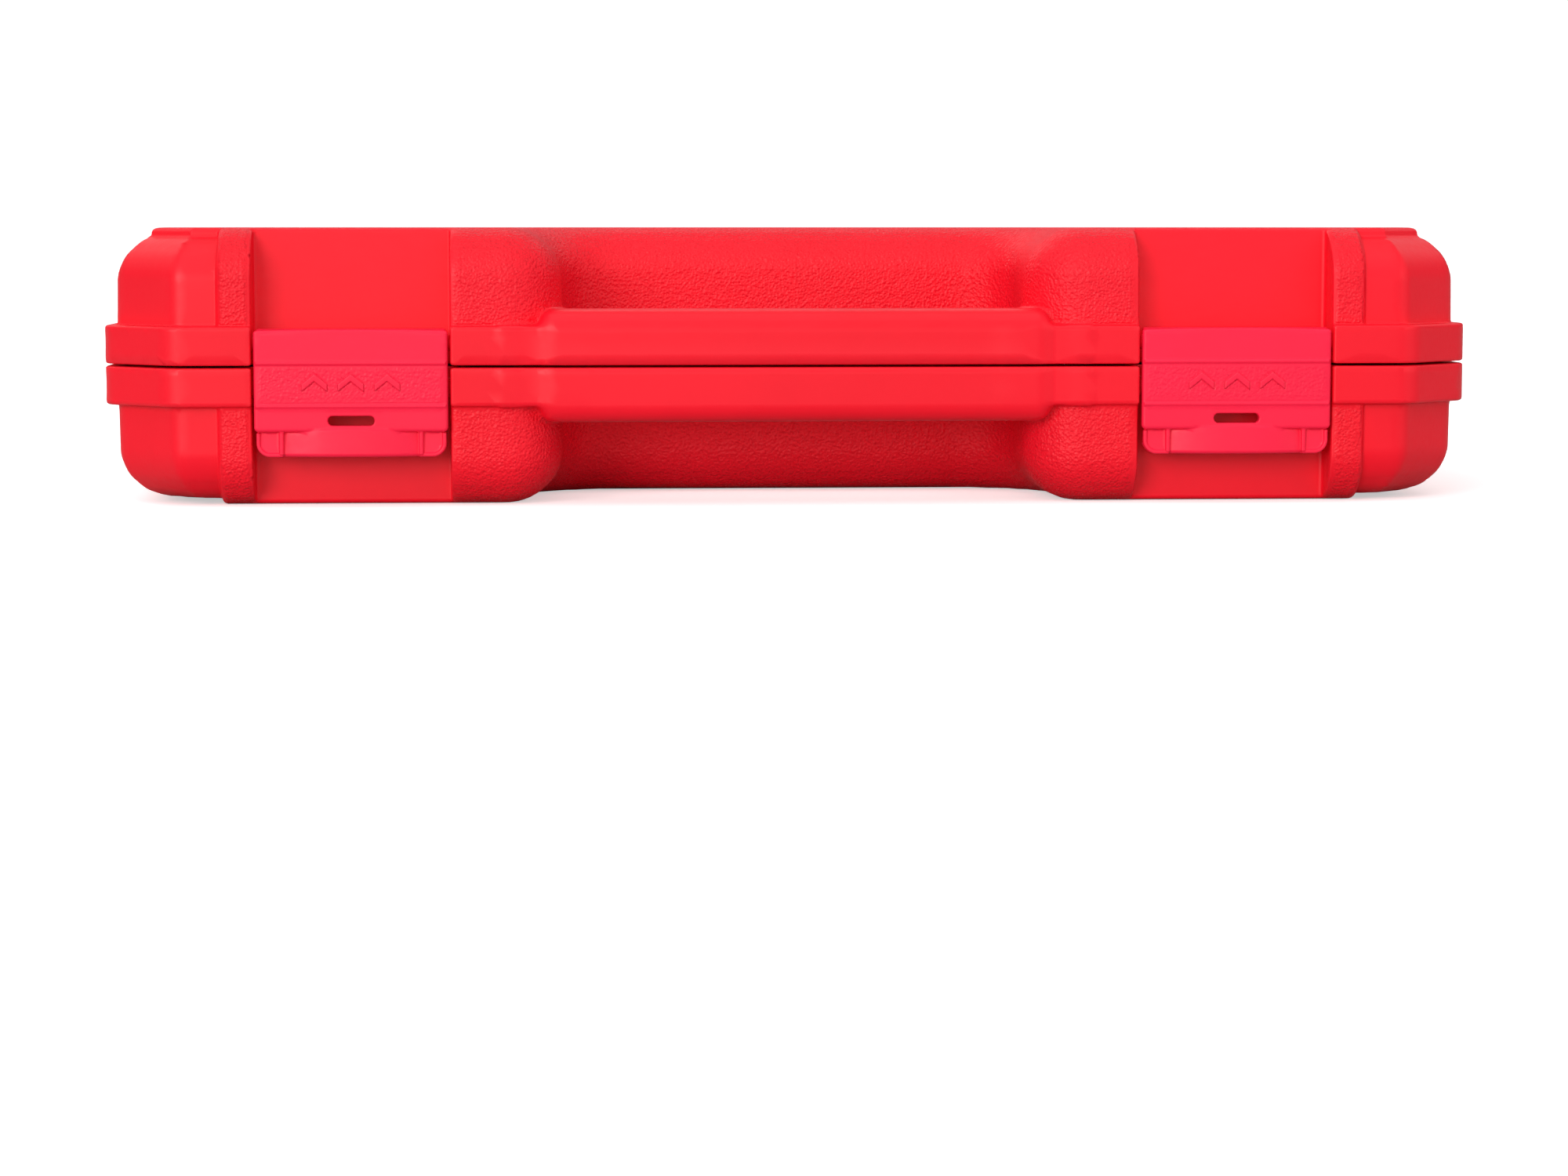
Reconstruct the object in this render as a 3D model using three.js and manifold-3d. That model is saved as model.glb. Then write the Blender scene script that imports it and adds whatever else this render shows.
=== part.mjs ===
// Socket wrench set in a blow-moulded case, modelled closed.
// Millimetres, +Z up. The origin is under the middle of the case, on the surface it stands on.
// The front, with the handle and the two latches, faces -Y; the hinge line is at the back, on +Y.
import * as THREE from "three";
import { mergeVertices } from "three/addons/utils/BufferGeometryUtils.js";
import Module from "manifold-3d";

const wasm = await Module();
wasm.setup();

// ---------- driving dimensions ----------
const GAP = 0.3; // between pieces that touch
const PARTING = 35; // height of the plane where lid and base meet
const LID_TOP = 69.5;
const WALL = 2; // blow-moulded skin
const SIDE_X = 171; // half width of the body wall
const FRONT_Y = 130.5; // body wall to the front of the origin
const REAR_Y = 125.7; // body wall to the rear of the origin
const CORNER = 16.2; // leg of the 45 degree corners in plan
const RIM = 3; // how far the rim band stands out of the wall
const RIM_HEIGHT = 10;
const RIB = 1.5; // how far the textured ribs stand out of the wall
const EDGE_INSET = 10; // the sloped edge round the top and bottom faces
const EDGE_HEIGHT = 8.3;
const PANEL = { x: 157, front: -75, rear: 98 }; // raised panel on the top and bottom faces
const RECESS = { halfBack: 44, halfMouth: 60, back: -84.5, innerArc: 16, mouthArc: 14 };
const BAY = { near: 86.5, far: 135.8, wall: -122.5 }; // latch bays, in |x|
const HANDLE = { half: 64, front: -134.5, back: -112.5, reach: 14.1, round: 4.5 };
const RIB_CENTRES = [-126.8, -63.2, 0, 63.2, 126.8];
const RIB_WIDTH = 33.6;
const SIDE_RIB_CENTRES = [-62, 0, 62];
const FRONT_RIB_OUTER = 144.2;
const HINGE = { y: 130.7, radius: 3.8, pin: 1.4, bore: 1.8, x: 101.3, knuckle: 19.8 };
const FOOT = { face: 134.5, lidHalf: 22.5, baseHalf: 21, flare: 4, root: 124.5 };
const LATCH = { x: 111.15, half: 23.6, axisY: -130, axisZ: 40.8, bar: 1.9, ring: 4.2, bore: 2.3 };
const BED_TOP = 29; // tool bed face
const LINER_FACE = 46; // lid liner face
const SKIN = 1.8; // thickness of the bed and the liner
const DRIVE = 9.5; // 3/8 inch square drive

// ---------- materials ----------
const caseRed = new THREE.MeshStandardMaterial({ color: 0xf42a33, roughness: 0.45, metalness: 0 });
const latchRed = new THREE.MeshStandardMaterial({ color: 0xf9344c, roughness: 0.4, metalness: 0 });
const chrome = new THREE.MeshStandardMaterial({ color: 0xd4d6da, roughness: 0.18, metalness: 1 });
const satin = new THREE.MeshStandardMaterial({ color: 0xa9acb1, roughness: 0.35, metalness: 1 });
const steel = new THREE.MeshStandardMaterial({ color: 0x8e9094, roughness: 0.4, metalness: 1 });
const blackSteel = new THREE.MeshStandardMaterial({ color: 0x2b2c2f, roughness: 0.5, metalness: 0.6 });
const rubber = new THREE.MeshStandardMaterial({ color: 0x1c1c1e, roughness: 0.85, metalness: 0 });

const set = new THREE.Group();

// ---------- solids from three.js geometry ----------
function solid(geometry) {
  const bare = geometry.index ? geometry.toNonIndexed() : geometry.clone();
  for (const name of Object.keys(bare.attributes)) {
    if (name !== "position") bare.deleteAttribute(name);
  }
  const merged = mergeVertices(bare, 1e-4);
  const vertProperties = merged.attributes.position.array;
  const triVerts = new Uint32Array(merged.index.array);
  return new wasm.Manifold(new wasm.Mesh({ numProp: 3, vertProperties, triVerts }));
}

function geometryOf(made) {
  const mesh = made.getMesh();
  const geometry = new THREE.BufferGeometry();
  geometry.setAttribute("position", new THREE.BufferAttribute(mesh.vertProperties, 3));
  geometry.setIndex(new THREE.BufferAttribute(mesh.triVerts, 1));
  return geometry;
}

function add(name, made, material, place = new THREE.Vector3()) {
  const geometry = geometryOf(made);
  const mesh = new THREE.Mesh(geometry, material);
  geometry.computeVertexNormals();
  mesh.name = name;
  mesh.position.copy(place);
  set.add(mesh);
}

const join = (...solids) => solids.flat().reduce((sum, next) => sum.add(next));
const cut = (body, ...tools) => tools.flat().reduce((sum, next) => sum.subtract(next), body);
const at = (x, y, z = 0) => new THREE.Vector3(x, y, z);

function box(x0, x1, y0, y1, z0, z1) {
  const geometry = new THREE.BoxGeometry(x1 - x0, y1 - y0, z1 - z0);
  return solid(geometry.translate((x0 + x1) / 2, (y0 + y1) / 2, (z0 + z1) / 2));
}

// A prism whose outline lies in the XY plane, from z0 to z1.
function prism(points, z0, z1) {
  const depth = z1 - z0;
  const geometry = new THREE.ExtrudeGeometry(new THREE.Shape(points), { depth, bevelEnabled: false });
  return solid(geometry.translate(0, 0, z0));
}

// A prism whose outline holds (y, z) points, from x0 to x1.
function sidePrism(points, x0, x1) {
  const shape = new THREE.Shape(points.map(([y, z]) => new THREE.Vector2(y, z)));
  const geometry = new THREE.ExtrudeGeometry(shape, { depth: x1 - x0, bevelEnabled: false });
  const turn = new THREE.Matrix4().set(0, 0, 1, x0, 1, 0, 0, 0, 0, 1, 0, 0, 0, 0, 0, 1);
  return solid(geometry.applyMatrix4(turn));
}

function circle(x, y, radius, sides = 24) {
  return Array.from({ length: sides }, (_, i) => {
    const angle = (2 * Math.PI * (i + 0.5)) / sides;
    return new THREE.Vector2(x + radius * Math.cos(angle), y + radius * Math.sin(angle));
  });
}

const rod = (x, y, radius, z0, z1, sides = 14) => prism(circle(x, y, radius, sides), z0, z1);

function rodAlongX(y, z, radius, x0, x1, sides = 16) {
  return sidePrism(circle(y, z, radius, sides).map((p) => [p.x, p.y]), x0, x1);
}

function rodAlongY(x, z, radius, y0, y1, sides = 16) {
  const geometry = new THREE.CylinderGeometry(radius, radius, y1 - y0, sides);
  return solid(geometry.translate(x, (y0 + y1) / 2, z));
}

// Turned pieces: the profile holds [radius, height] pairs and starts and ends on the axis.
function turned(profile, sides = 14) {
  const points = profile.map(([radius, height]) => new THREE.Vector2(radius, height));
  const geometry = new THREE.LatheGeometry(points, sides);
  return geometry.rotateX(Math.PI / 2);
}

const turnedUp = (profile, sides) => solid(turned(profile, sides));
const turnedAlongX = (profile, sides) => solid(turned(profile, sides).rotateY(Math.PI / 2));
const turnedAlongY = (profile, sides) => solid(turned(profile, sides).rotateX(-Math.PI / 2));

// A closed body through outlines of equal length, lowest first, each { points, z }.
function loft(levels) {
  const count = levels[0].points.length;
  const positions = levels.flatMap(({ points, z }) => points.flatMap((p) => [p.x, p.y, z]));
  const faces = [];
  for (let level = 0; level + 1 < levels.length; level += 1) {
    for (let i = 0; i < count; i += 1) {
      const a = level * count + i;
      const b = level * count + ((i + 1) % count);
      faces.push(a, b, b + count, a, b + count, a + count);
    }
  }
  const top = (levels.length - 1) * count;
  THREE.ShapeUtils.triangulateShape(levels[0].points, []).forEach(([a, b, c]) => faces.push(a, c, b));
  THREE.ShapeUtils.triangulateShape(levels.at(-1).points, []).forEach(([a, b, c]) => {
    faces.push(top + a, top + b, top + c);
  });
  const geometry = new THREE.BufferGeometry();
  geometry.setAttribute("position", new THREE.Float32BufferAttribute(positions, 3));
  geometry.setIndex(faces);
  return solid(geometry);
}

function mirrorZ(made, height) {
  const geometry = geometryOf(made).scale(1, 1, -1).translate(0, 0, height);
  const index = geometry.index.array;
  for (let i = 0; i < index.length; i += 3) [index[i], index[i + 1]] = [index[i + 1], index[i]];
  return solid(geometry);
}

// ---------- the case halves ----------
// Plan outline of the body wall, moved outwards by grow: right half from the handle recess round
// to the rear, then its mirror image.
function caseOutline(grow) {
  const corner = CORNER + grow * (2 - Math.SQRT2);
  const x = SIDE_X + grow;
  const right = [];
  const arc = (cx, cy, radius, from, to, steps) => {
    for (let i = 0; i <= steps; i += 1) {
      const angle = ((from + ((to - from) * i) / steps) * Math.PI) / 180;
      right.push([cx + radius * Math.cos(angle), cy + radius * Math.sin(angle)]);
    }
  };
  arc(RECESS.halfBack, RECESS.back - RECESS.innerArc, RECESS.innerArc - grow, 90, 0, 4);
  const mouthX = RECESS.halfMouth + RECESS.mouthArc;
  arc(mouthX, RECESS.mouthArc - FRONT_Y, RECESS.mouthArc + grow, 180, 270, 4);
  right.push([x - corner, -FRONT_Y - grow], [x, corner - FRONT_Y - grow]);
  right.push([x, REAR_Y + grow - corner], [x - corner, REAR_Y + grow]);
  const left = right.map(([px, py]) => [-px, py]).reverse();
  return [...right, ...left].map(([px, py]) => new THREE.Vector2(px, py));
}

// A body that follows the case from the parting plane (height 0) to the outer face.
function caseBody(grow, top, bottom = 0) {
  return loft([
    { points: caseOutline(grow), z: bottom },
    { points: caseOutline(grow - 0.4), z: top - EDGE_HEIGHT },
    { points: caseOutline(grow - EDGE_INSET), z: top },
  ]);
}

const FAR = 400; // beyond the case on every side
const bothSides = (make) => [make(1), make(-1)];
const spanX = (side, near, far) => (side > 0 ? [near, far] : [-far, -near]);

function ribZones() {
  const half = RIB_WIDTH / 2;
  const rear = RIB_CENTRES.map((x) => box(x - half, x + half, PANEL.rear - 20, FAR, -1, FAR));
  const sides = SIDE_RIB_CENTRES.flatMap((y) =>
    bothSides((s) => box(...spanX(s, PANEL.x - 20, FAR), y - half, y + half, -1, FAR)),
  );
  const yoke = box(-BAY.near, BAY.near, -FAR, PANEL.front + 20, -1, FAR);
  const outer = bothSides((s) =>
    box(...spanX(s, BAY.near, FRONT_RIB_OUTER), -FAR, PANEL.front + 20, -1, FAR),
  );
  const panel = box(-PANEL.x, PANEL.x, PANEL.front, PANEL.rear, 20, FAR);
  return join(rear, sides, yoke, outer, panel);
}

function handleHalf() {
  const { front, back, reach, round } = HANDLE;
  const corners = [
    [front + round, reach - round, 180, 90],
    [back - round, reach - round, 90, 0],
  ];
  const section = [[front, GAP]];
  for (const [cy, cz, from, to] of corners) {
    for (let i = 0; i <= 3; i += 1) {
      const angle = ((from + ((to - from) * i) / 3) * Math.PI) / 180;
      section.push([cy + round * Math.cos(angle), cz + round * Math.sin(angle)]);
    }
  }
  section.push([back, GAP]);
  return sidePrism(section.reverse(), -HANDLE.half, HANDLE.half);
}

// A standing foot on the rear wall: widest at the rim, with sloped flanks.
function foot(x, half, low, high) {
  const ring = (grow, y) => [
    [x - half - grow, low - grow / 2, y],
    [x + half + grow, low - grow / 2, y],
    [x + half + grow - 3, high + grow / 2, y],
    [x - half - grow + 3, high + grow / 2, y],
  ];
  const corners = [...ring(FOOT.flare, FOOT.root), ...ring(0, FOOT.face)];
  const faces = [0, 1, 2, 0, 2, 3, 4, 6, 5, 4, 7, 6];
  for (let i = 0; i < 4; i += 1) {
    const next = (i + 1) % 4;
    faces.push(i, 4 + i, 4 + next, i, 4 + next, next);
  }
  const positions = corners.flatMap(([px, pz, py]) => [px, py, pz]);
  const geometry = new THREE.BufferGeometry();
  geometry.setAttribute("position", new THREE.Float32BufferAttribute(positions, 3));
  geometry.setIndex(faces);
  return solid(geometry);
}

// One hinge knuckle round the hinge axis, with the arm that ties it to the rim below it.
function knuckle(x) {
  const half = HINGE.knuckle / 2 - 0.15;
  const barrel = rodAlongX(HINGE.y, 0, HINGE.radius, x - half, x + half);
  const arm = box(x - half, x + half, HINGE.y - 5, HINGE.y + 1.5, GAP - 3.4, -GAP).subtract(
    box(x - half - 1, x + half + 1, HINGE.y - 9, HINGE.y - 1.2, -GAP - 0.01, 1),
  );
  return { barrel, arm: mirrorZ(arm, 0) };
}

// The middle knuckle of each hinge belongs to the lid and the outer two to the base.
function knuckleCentres(ofLid) {
  const steps = ofLid ? [0] : [-1, 1];
  return bothSides((s) => steps.map((step) => s * HINGE.x + step * HINGE.knuckle)).flat();
}

// One half of the case, standing on the parting plane and pointing up.
function caseHalf(depth, ofLid) {
  const smooth = caseBody(0, depth - 1.3, GAP);
  const ribs = caseBody(RIB, depth, GAP).intersect(ribZones());
  const rim = prism(caseOutline(RIM), GAP, RIM_HEIGHT);
  const feet = ofLid
    ? [foot(0, FOOT.lidHalf, 7, 30)]
    : bothSides((s) => foot(s * HINGE.x, FOOT.baseHalf, 7, 25));
  const handle = handleHalf();
  const bays = bothSides((s) => box(...spanX(s, BAY.near, BAY.far), -FAR, BAY.wall, -1, FAR));
  const hollow = cut(
    caseBody(-WALL, depth - 1.3 - WALL, -1),
    bothSides((s) => box(...spanX(s, BAY.near - WALL, BAY.far + WALL), -FAR, BAY.wall + WALL, -2, FAR)),
  );
  const outside = cut(join(smooth, ribs, rim, feet, handle), bays);
  const own = knuckleCentres(ofLid).map(knuckle);
  const others = knuckleCentres(!ofLid);
  const half = HINGE.knuckle / 2 + 0.2;
  const notches = others.map((x) =>
    join(
      rodAlongX(HINGE.y, 0, HINGE.radius + 0.5, x - half, x + half),
      box(x - half, x + half, HINGE.y - 4.3, FAR, -1, HINGE.radius + 0.7),
    ),
  );
  const bores = bothSides((s) =>
    rodAlongX(HINGE.y, 0, HINGE.bore, s * HINGE.x - 40, s * HINGE.x + 40, 12),
  );
  const knuckles = own.flatMap(({ barrel, arm }) => [barrel, arm]);
  return cut(join(cut(outside, hollow, notches), knuckles), bores);
}

// The bar that a latch clips round runs across the lid's bay, near the rim.
function pivotBar(side) {
  const [x0, x1] = spanX(side, BAY.near - 1, BAY.far + 1);
  return rodAlongX(LATCH.axisY, LATCH.axisZ - PARTING, LATCH.bar, x0, x1, 12);
}

// The ridge on the base that a latch's hook grips.
function catchRidge(side) {
  const [x0, x1] = spanX(side, BAY.near - 1, BAY.far + 1);
  return box(x0, x1, LATCH.axisY - 0.6, BAY.wall + 1, 3.5, 7.5);
}

const raise = (made, height) => solid(geometryOf(made).translate(0, 0, height));

const lid = join(caseHalf(LID_TOP - PARTING, true), bothSides(pivotBar));
add("lid_shell", raise(lid, PARTING), caseRed);
const base = join(caseHalf(PARTING, false), bothSides(catchRidge));
add("base_shell", mirrorZ(base, PARTING), caseRed);

for (const side of [-1, 1]) {
  const name = side < 0 ? "left" : "right";
  const length = 1.5 * HINGE.knuckle - 0.3;
  const pin = rodAlongX(0, 0, HINGE.pin, -length, length, 12);
  add(`hinge_pin_${name}`, pin, steel, at(side * HINGE.x, HINGE.y, PARTING));
}

// ---------- latches ----------
function latch() {
  const { half, axisY, axisZ, ring, bore } = LATCH;
  const front = axisY - ring;
  const back = front + 2.4;
  const plate = sidePrism(
    [[front, 19.9], [back, 19.9], [back, 44.4], [front + 0.7, 44.9], [front, 44.2]],
    -half,
    half,
  );
  const clip = rodAlongX(axisY, axisZ, ring, -half, half, 20);
  const mouth = box(-half - 1, half + 1, axisY - 0.9, axisY + ring + 1, axisZ - ring - 1, axisZ);
  const hook = box(-half + 2, half - 2, front + 1, axisY - 0.9, 24, 26.4);
  // The finger lip bows out to the plate's face in the middle and falls back at both ends.
  const bow = [];
  for (let i = 0; i <= 10; i += 1) {
    const x = -17 + 3.4 * i;
    bow.push(new THREE.Vector2(x, front + 3.6 * (x / 17) ** 2));
  }
  const rear = front + 5.6;
  bow.push(new THREE.Vector2(half - 1.5, front + 3.6), new THREE.Vector2(half - 1.5, rear));
  bow.push(new THREE.Vector2(1.5 - half, rear), new THREE.Vector2(1.5 - half, front + 3.6));
  const lip = prism(bow, 13.6, 21);
  const under = box(-half, half, back, rear + 1, 15.2, 30);
  const slot = box(-5.9, 5.9, front - 1, back + 1, 21.3, 23.8);
  const bar = rodAlongX(axisY, axisZ, bore, -half - 1, half + 1, 16);
  return cut(join(plate, clip, cut(lip, under), hook), mouth, bar, slot);
}

add("latch_left", latch(), latchRed, at(-LATCH.x, 0));
add("latch_right", latch(), latchRed, at(LATCH.x, 0));

// ---------- where the tools lie ----------
const RATCHET = { x: -96, y: -60, z: 30.5 };
const HEAD = { low: 24.5, high: 36.5, radius: 18, tailX: 17, tailRadius: 12.2 };
const LONG_BAR = { x: -150, y: -29, z: BED_TOP, length: 150 };
const SHORT_BAR = { x: 16, y: -29, z: BED_TOP, length: 75 };
const DEEP_ROW = { y: 22, pitch: 37, length: 63, sizes: [10, 11, 12, 13, 14, 15, 17, 19] };
const SHORT_ROWS = [
  { y: 70, pitch: 42, sizes: [6, 7, 8, 9, 10, 11, 12] },
  { y: 98, pitch: 42, sizes: [13, 14, 15, 16, 17, 18, 19] },
];
const SHORT_SOCKET = { foot: 6.2, length: 28 };
const PLUG_SOCKET = { x: 92, y: -101, z: BED_TOP, length: 65, radius: 13.4, hex: 20.8 };
const BIT_SOCKETS = [
  { name: "hex_bit_socket_6", across: 6, y: -62 },
  { name: "hex_bit_socket_8", across: 8, y: -31 },
];
const BIT = { x: 108, z: BED_TOP, body: 24, length: 46, radius: 9 };
const JOINT = { x: -137, y: -97, z: 26, swing: 20 };
const ADAPTER = { x: -96, y: -101, z: BED_TOP, length: 27, radius: 8.5 };

const socketRadius = (size) => (1.26 * size + 2.2) / 2;
const driveRadius = (size) => Math.max(8.5, socketRadius(size) - 0.5);
const rowX = (row, i) => (i - (row.sizes.length - 1) / 2) * row.pitch;

// The ratchet head in plan: a round head that tapers into a smaller tail.
function headOutline(inset) {
  const { radius, tailX, tailRadius } = HEAD;
  const meet = Math.acos((radius - tailRadius) / tailX);
  const points = [];
  const arc = (cx, r, from, to, steps) => {
    for (let i = 0; i <= steps; i += 1) {
      const angle = from + ((to - from) * i) / steps;
      points.push(new THREE.Vector2(cx + r * Math.cos(angle), r * Math.sin(angle)));
    }
  };
  arc(0, radius - inset, meet, 2 * Math.PI - meet, 18);
  arc(tailX, tailRadius - inset, -meet, meet, 10);
  return points;
}

// ---------- tool bed ----------
// The bed is moulded in four levels, so that the sockets stand clear of it and can be gripped.
const LEVELS = {
  base_tool_bed: { top: BED_TOP, x: [-FAR, FAR], y: [-FAR, -14], not: "plug_socket_tray" },
  plug_socket_tray: { top: 20, x: [87, FAR], y: [-FAR, -80] },
  deep_socket_tray: { top: 21.5, x: [-FAR, FAR], y: [-13.7, 56] },
  socket_tray: { top: 13.5, x: [-FAR, FAR], y: [56.3, FAR] },
};
const POCKET_ROOM = 0.8;

// A pocket is cut into the bed with room round the tool, and lined by the bed's own skin.
function pocket(make) {
  return { inside: make(0), lining: make(SKIN) };
}

function well(x, y, radius, floor) {
  return pocket((skin) => rod(x, y, radius + POCKET_ROOM + skin, floor - 0.6 - skin, BED_TOP + 1, 14));
}

function headPocket() {
  const { x, y } = RATCHET;
  return pocket((skin) => {
    const outline = headOutline(-POCKET_ROOM - skin).map((p) => new THREE.Vector2(p.x + x, p.y + y));
    return prism(outline, HEAD.low - 0.6 - skin, BED_TOP + 1);
  });
}

function troughX(x0, x1, y, z, radius) {
  return pocket((skin) => {
    const r = radius + POCKET_ROOM + skin;
    const low = x0 - POCKET_ROOM - skin;
    const high = x1 + POCKET_ROOM + skin;
    return join(rodAlongX(y, z, r, low, high, 14), box(low, high, y - r * 0.98, y + r * 0.98, z, z + 20));
  });
}

function troughY(x, y0, y1, z, radius) {
  return pocket((skin) => {
    const r = radius + POCKET_ROOM + skin;
    return rodAlongY(x, z, r, y0 - POCKET_ROOM - skin, y1 + POCKET_ROOM + skin, 16);
  });
}

function tray(x0, x1, y0, y1, floor) {
  return pocket((skin) => box(x0 - skin, x1 + skin, y0 - skin, y1 + skin, floor - skin, BED_TOP + 1));
}

function deepSocketPockets() {
  return DEEP_ROW.sizes.map((size, i) => {
    const radius = Math.max(socketRadius(size), driveRadius(size));
    const y0 = DEEP_ROW.y - DEEP_ROW.length / 2;
    return troughY(rowX(DEEP_ROW, i), y0, y0 + DEEP_ROW.length, BED_TOP, radius);
  });
}

function shortSocketPockets() {
  return SHORT_ROWS.flatMap((row) =>
    row.sizes.map((size, i) => {
      const radius = Math.max(socketRadius(size), driveRadius(size));
      return well(rowX(row, i), row.y, radius, SHORT_SOCKET.foot);
    }),
  );
}

function plugSocketPockets() {
  const { x, y, z, length, radius } = PLUG_SOCKET;
  return [troughX(x, x + length, y, z, radius)];
}

function toolPockets() {
  const { x, y, z } = RATCHET;
  const swing = JOINT.swing;
  return [
    headPocket(),
    well(x, y, 7.4, 12.4),
    troughX(x + 18, x + 192, y, z, 8.8),
    troughX(LONG_BAR.x, LONG_BAR.x + LONG_BAR.length, LONG_BAR.y, LONG_BAR.z, 8.5),
    troughX(SHORT_BAR.x, SHORT_BAR.x + SHORT_BAR.length, SHORT_BAR.y, SHORT_BAR.z, 8.5),
    ...BIT_SOCKETS.map((bit) => troughX(BIT.x, BIT.x + BIT.length, bit.y, BIT.z, BIT.radius)),
    troughX(ADAPTER.x, ADAPTER.x + ADAPTER.length, ADAPTER.y, ADAPTER.z, ADAPTER.radius),
    troughX(JOINT.x - 24.5, JOINT.x - 9, JOINT.y, JOINT.z, 9.2),
    tray(JOINT.x - 9, JOINT.x + 30, JOINT.y - swing, JOINT.y + swing, JOINT.z - swing),
    // finger room across the ratchet's grip and the bars
    tray(-8, 26, -77, -45, 19),
    tray(-84, -58, -42, -16, 20.5),
    tray(40, 62, -42, -16, 20.5),
  ];
}

// What lies inside one half of the case, clear of its walls and bays.
function liningOutline() {
  return cut(
    prism(caseOutline(-WALL - 0.6), -60, 60),
    bothSides((s) => {
      const room = WALL + GAP;
      return box(...spanX(s, BAY.near - room, BAY.far + room), -FAR, BAY.wall + room, -FAR, FAR);
    }),
  );
}

// One level of the bed: its plate, the pockets in it, and a skirt down to the level behind it.
function bedLevel({ top, x, y, not }, pockets, skirt) {
  const zone = box(...x, ...y, -FAR, top);
  const plate = box(...x, ...y, top - SKIN, top);
  const wall = skirt === undefined ? [] : [box(...x, y[1] - SKIN, y[1], skirt, top)];
  const linings = pockets.map((p) => p.lining.intersect(zone));
  const skin = join(plate, wall, linings).intersect(liningOutline());
  const other = not ? LEVELS[not] : null;
  const gap = other ? [box(other.x[0] - GAP, FAR, -FAR, other.y[1] + GAP, -FAR, FAR)] : [];
  return cut(skin, pockets.map((p) => p.inside), gap);
}

add("base_tool_bed", bedLevel(LEVELS.base_tool_bed, toolPockets(), 22), caseRed);
add("plug_socket_tray", bedLevel(LEVELS.plug_socket_tray, plugSocketPockets()), caseRed);
add("deep_socket_tray", bedLevel(LEVELS.deep_socket_tray, deepSocketPockets(), 13.5), caseRed);
add("socket_tray", bedLevel(LEVELS.socket_tray, shortSocketPockets()), caseRed);

// The liner's pads come down over the tools and keep them in their pockets.
function lidLiner() {
  const pads = [
    [-152, 152, 60, 114, 35.6],
    [-84, 90, -74, -46, 41.2],
    [-152, 92, -38, -20, 39.5],
  ];
  const face = box(-FAR, FAR, -FAR, FAR, LINER_FACE, LINER_FACE + SKIN);
  const border = cut(
    box(-FAR, FAR, -FAR, FAR, PARTING + GAP, LINER_FACE + SKIN),
    prism(caseOutline(-WALL - 3.2), 0, 60).subtract(
      join(bothSides((s) => box(...spanX(s, BAY.near - 5, BAY.far + 5), -FAR, BAY.wall + 5, -FAR, FAR))),
    ),
  );
  const outer = pads.map(([x0, x1, y0, y1, low]) => box(x0, x1, y0, y1, low, LINER_FACE + 1));
  const inner = pads.map(([x0, x1, y0, y1, low]) =>
    box(x0 + SKIN, x1 - SKIN, y0 + SKIN, y1 - SKIN, low + SKIN, LINER_FACE + SKIN + 1),
  );
  return cut(join(face, border, outer).intersect(liningOutline()), inner);
}

add("lid_liner", lidLiner(), caseRed);

// ---------- sockets ----------
const squareHole = (depth, z0 = -1) => {
  const half = DRIVE / 2 + 0.1;
  return box(-half, half, -half, half, z0, z0 + depth + 1);
};

function hexagon(across) {
  return circle(0, 0, across / Math.sqrt(3), 6);
}

// A socket standing on its drive end: a square hole below, a hexagon above and a bore between.
function socket(size, length) {
  const nose = socketRadius(size);
  const tail = driveRadius(size);
  const step = Math.min(13, length / 2);
  const body = turnedUp([
    [0, 0],
    [tail - 0.8, 0],
    [tail, 0.8],
    [tail, step],
    [nose, step + 2],
    [nose, length - 0.8],
    [nose - 0.8, length],
    [0, length],
  ], 12);
  const bore = Math.min(4.7, size / 2);
  const depth = Math.min(14, length * 0.5);
  return cut(
    body,
    squareHole(10),
    rod(0, 0, bore, 5, length + 1, 10),
    prism(hexagon(size + 0.2), length - depth, length + 1),
  );
}

function laidAlongY(made) {
  return solid(geometryOf(made).rotateX(Math.PI / 2));
}

for (const row of SHORT_ROWS) {
  row.sizes.forEach((size, i) => {
    const place = at(rowX(row, i), row.y, SHORT_SOCKET.foot);
    add(`socket_${size}`, socket(size, SHORT_SOCKET.length), chrome, place);
  });
}

DEEP_ROW.sizes.forEach((size, i) => {
  const place = at(rowX(DEEP_ROW, i), DEEP_ROW.y + DEEP_ROW.length / 2, BED_TOP);
  add(`deep_socket_${size}`, laidAlongY(socket(size, DEEP_ROW.length)), chrome, place);
});

function plugSocket() {
  const { length, radius, hex } = PLUG_SOCKET;
  const body = turnedUp([
    [0, 0],
    [10.2, 0],
    [11, 0.8],
    [11, 17],
    [radius, 20],
    [radius, length - 1],
    [radius - 1, length],
    [0, length],
  ]);
  const made = cut(
    body,
    squareHole(10),
    rod(0, 0, 4.7, 5, length),
    rod(0, 0, 10.2, 28, length + 1),
    prism(hexagon(hex), 44, length + 1),
  );
  return solid(geometryOf(made).rotateY(Math.PI / 2));
}

// The rubber sleeve that holds a spark plug by its porcelain.
function plugGrip() {
  const sleeve = cut(rod(0, 0, 9.9, 28.3, 43.5), rod(0, 0, 6.2, 27, 45));
  return solid(geometryOf(sleeve).rotateY(Math.PI / 2));
}

const plugPlace = at(PLUG_SOCKET.x, PLUG_SOCKET.y, PLUG_SOCKET.z);
add("spark_plug_socket", plugSocket(), chrome, plugPlace);
add("spark_plug_grip", plugGrip(), rubber, plugPlace);

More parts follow.
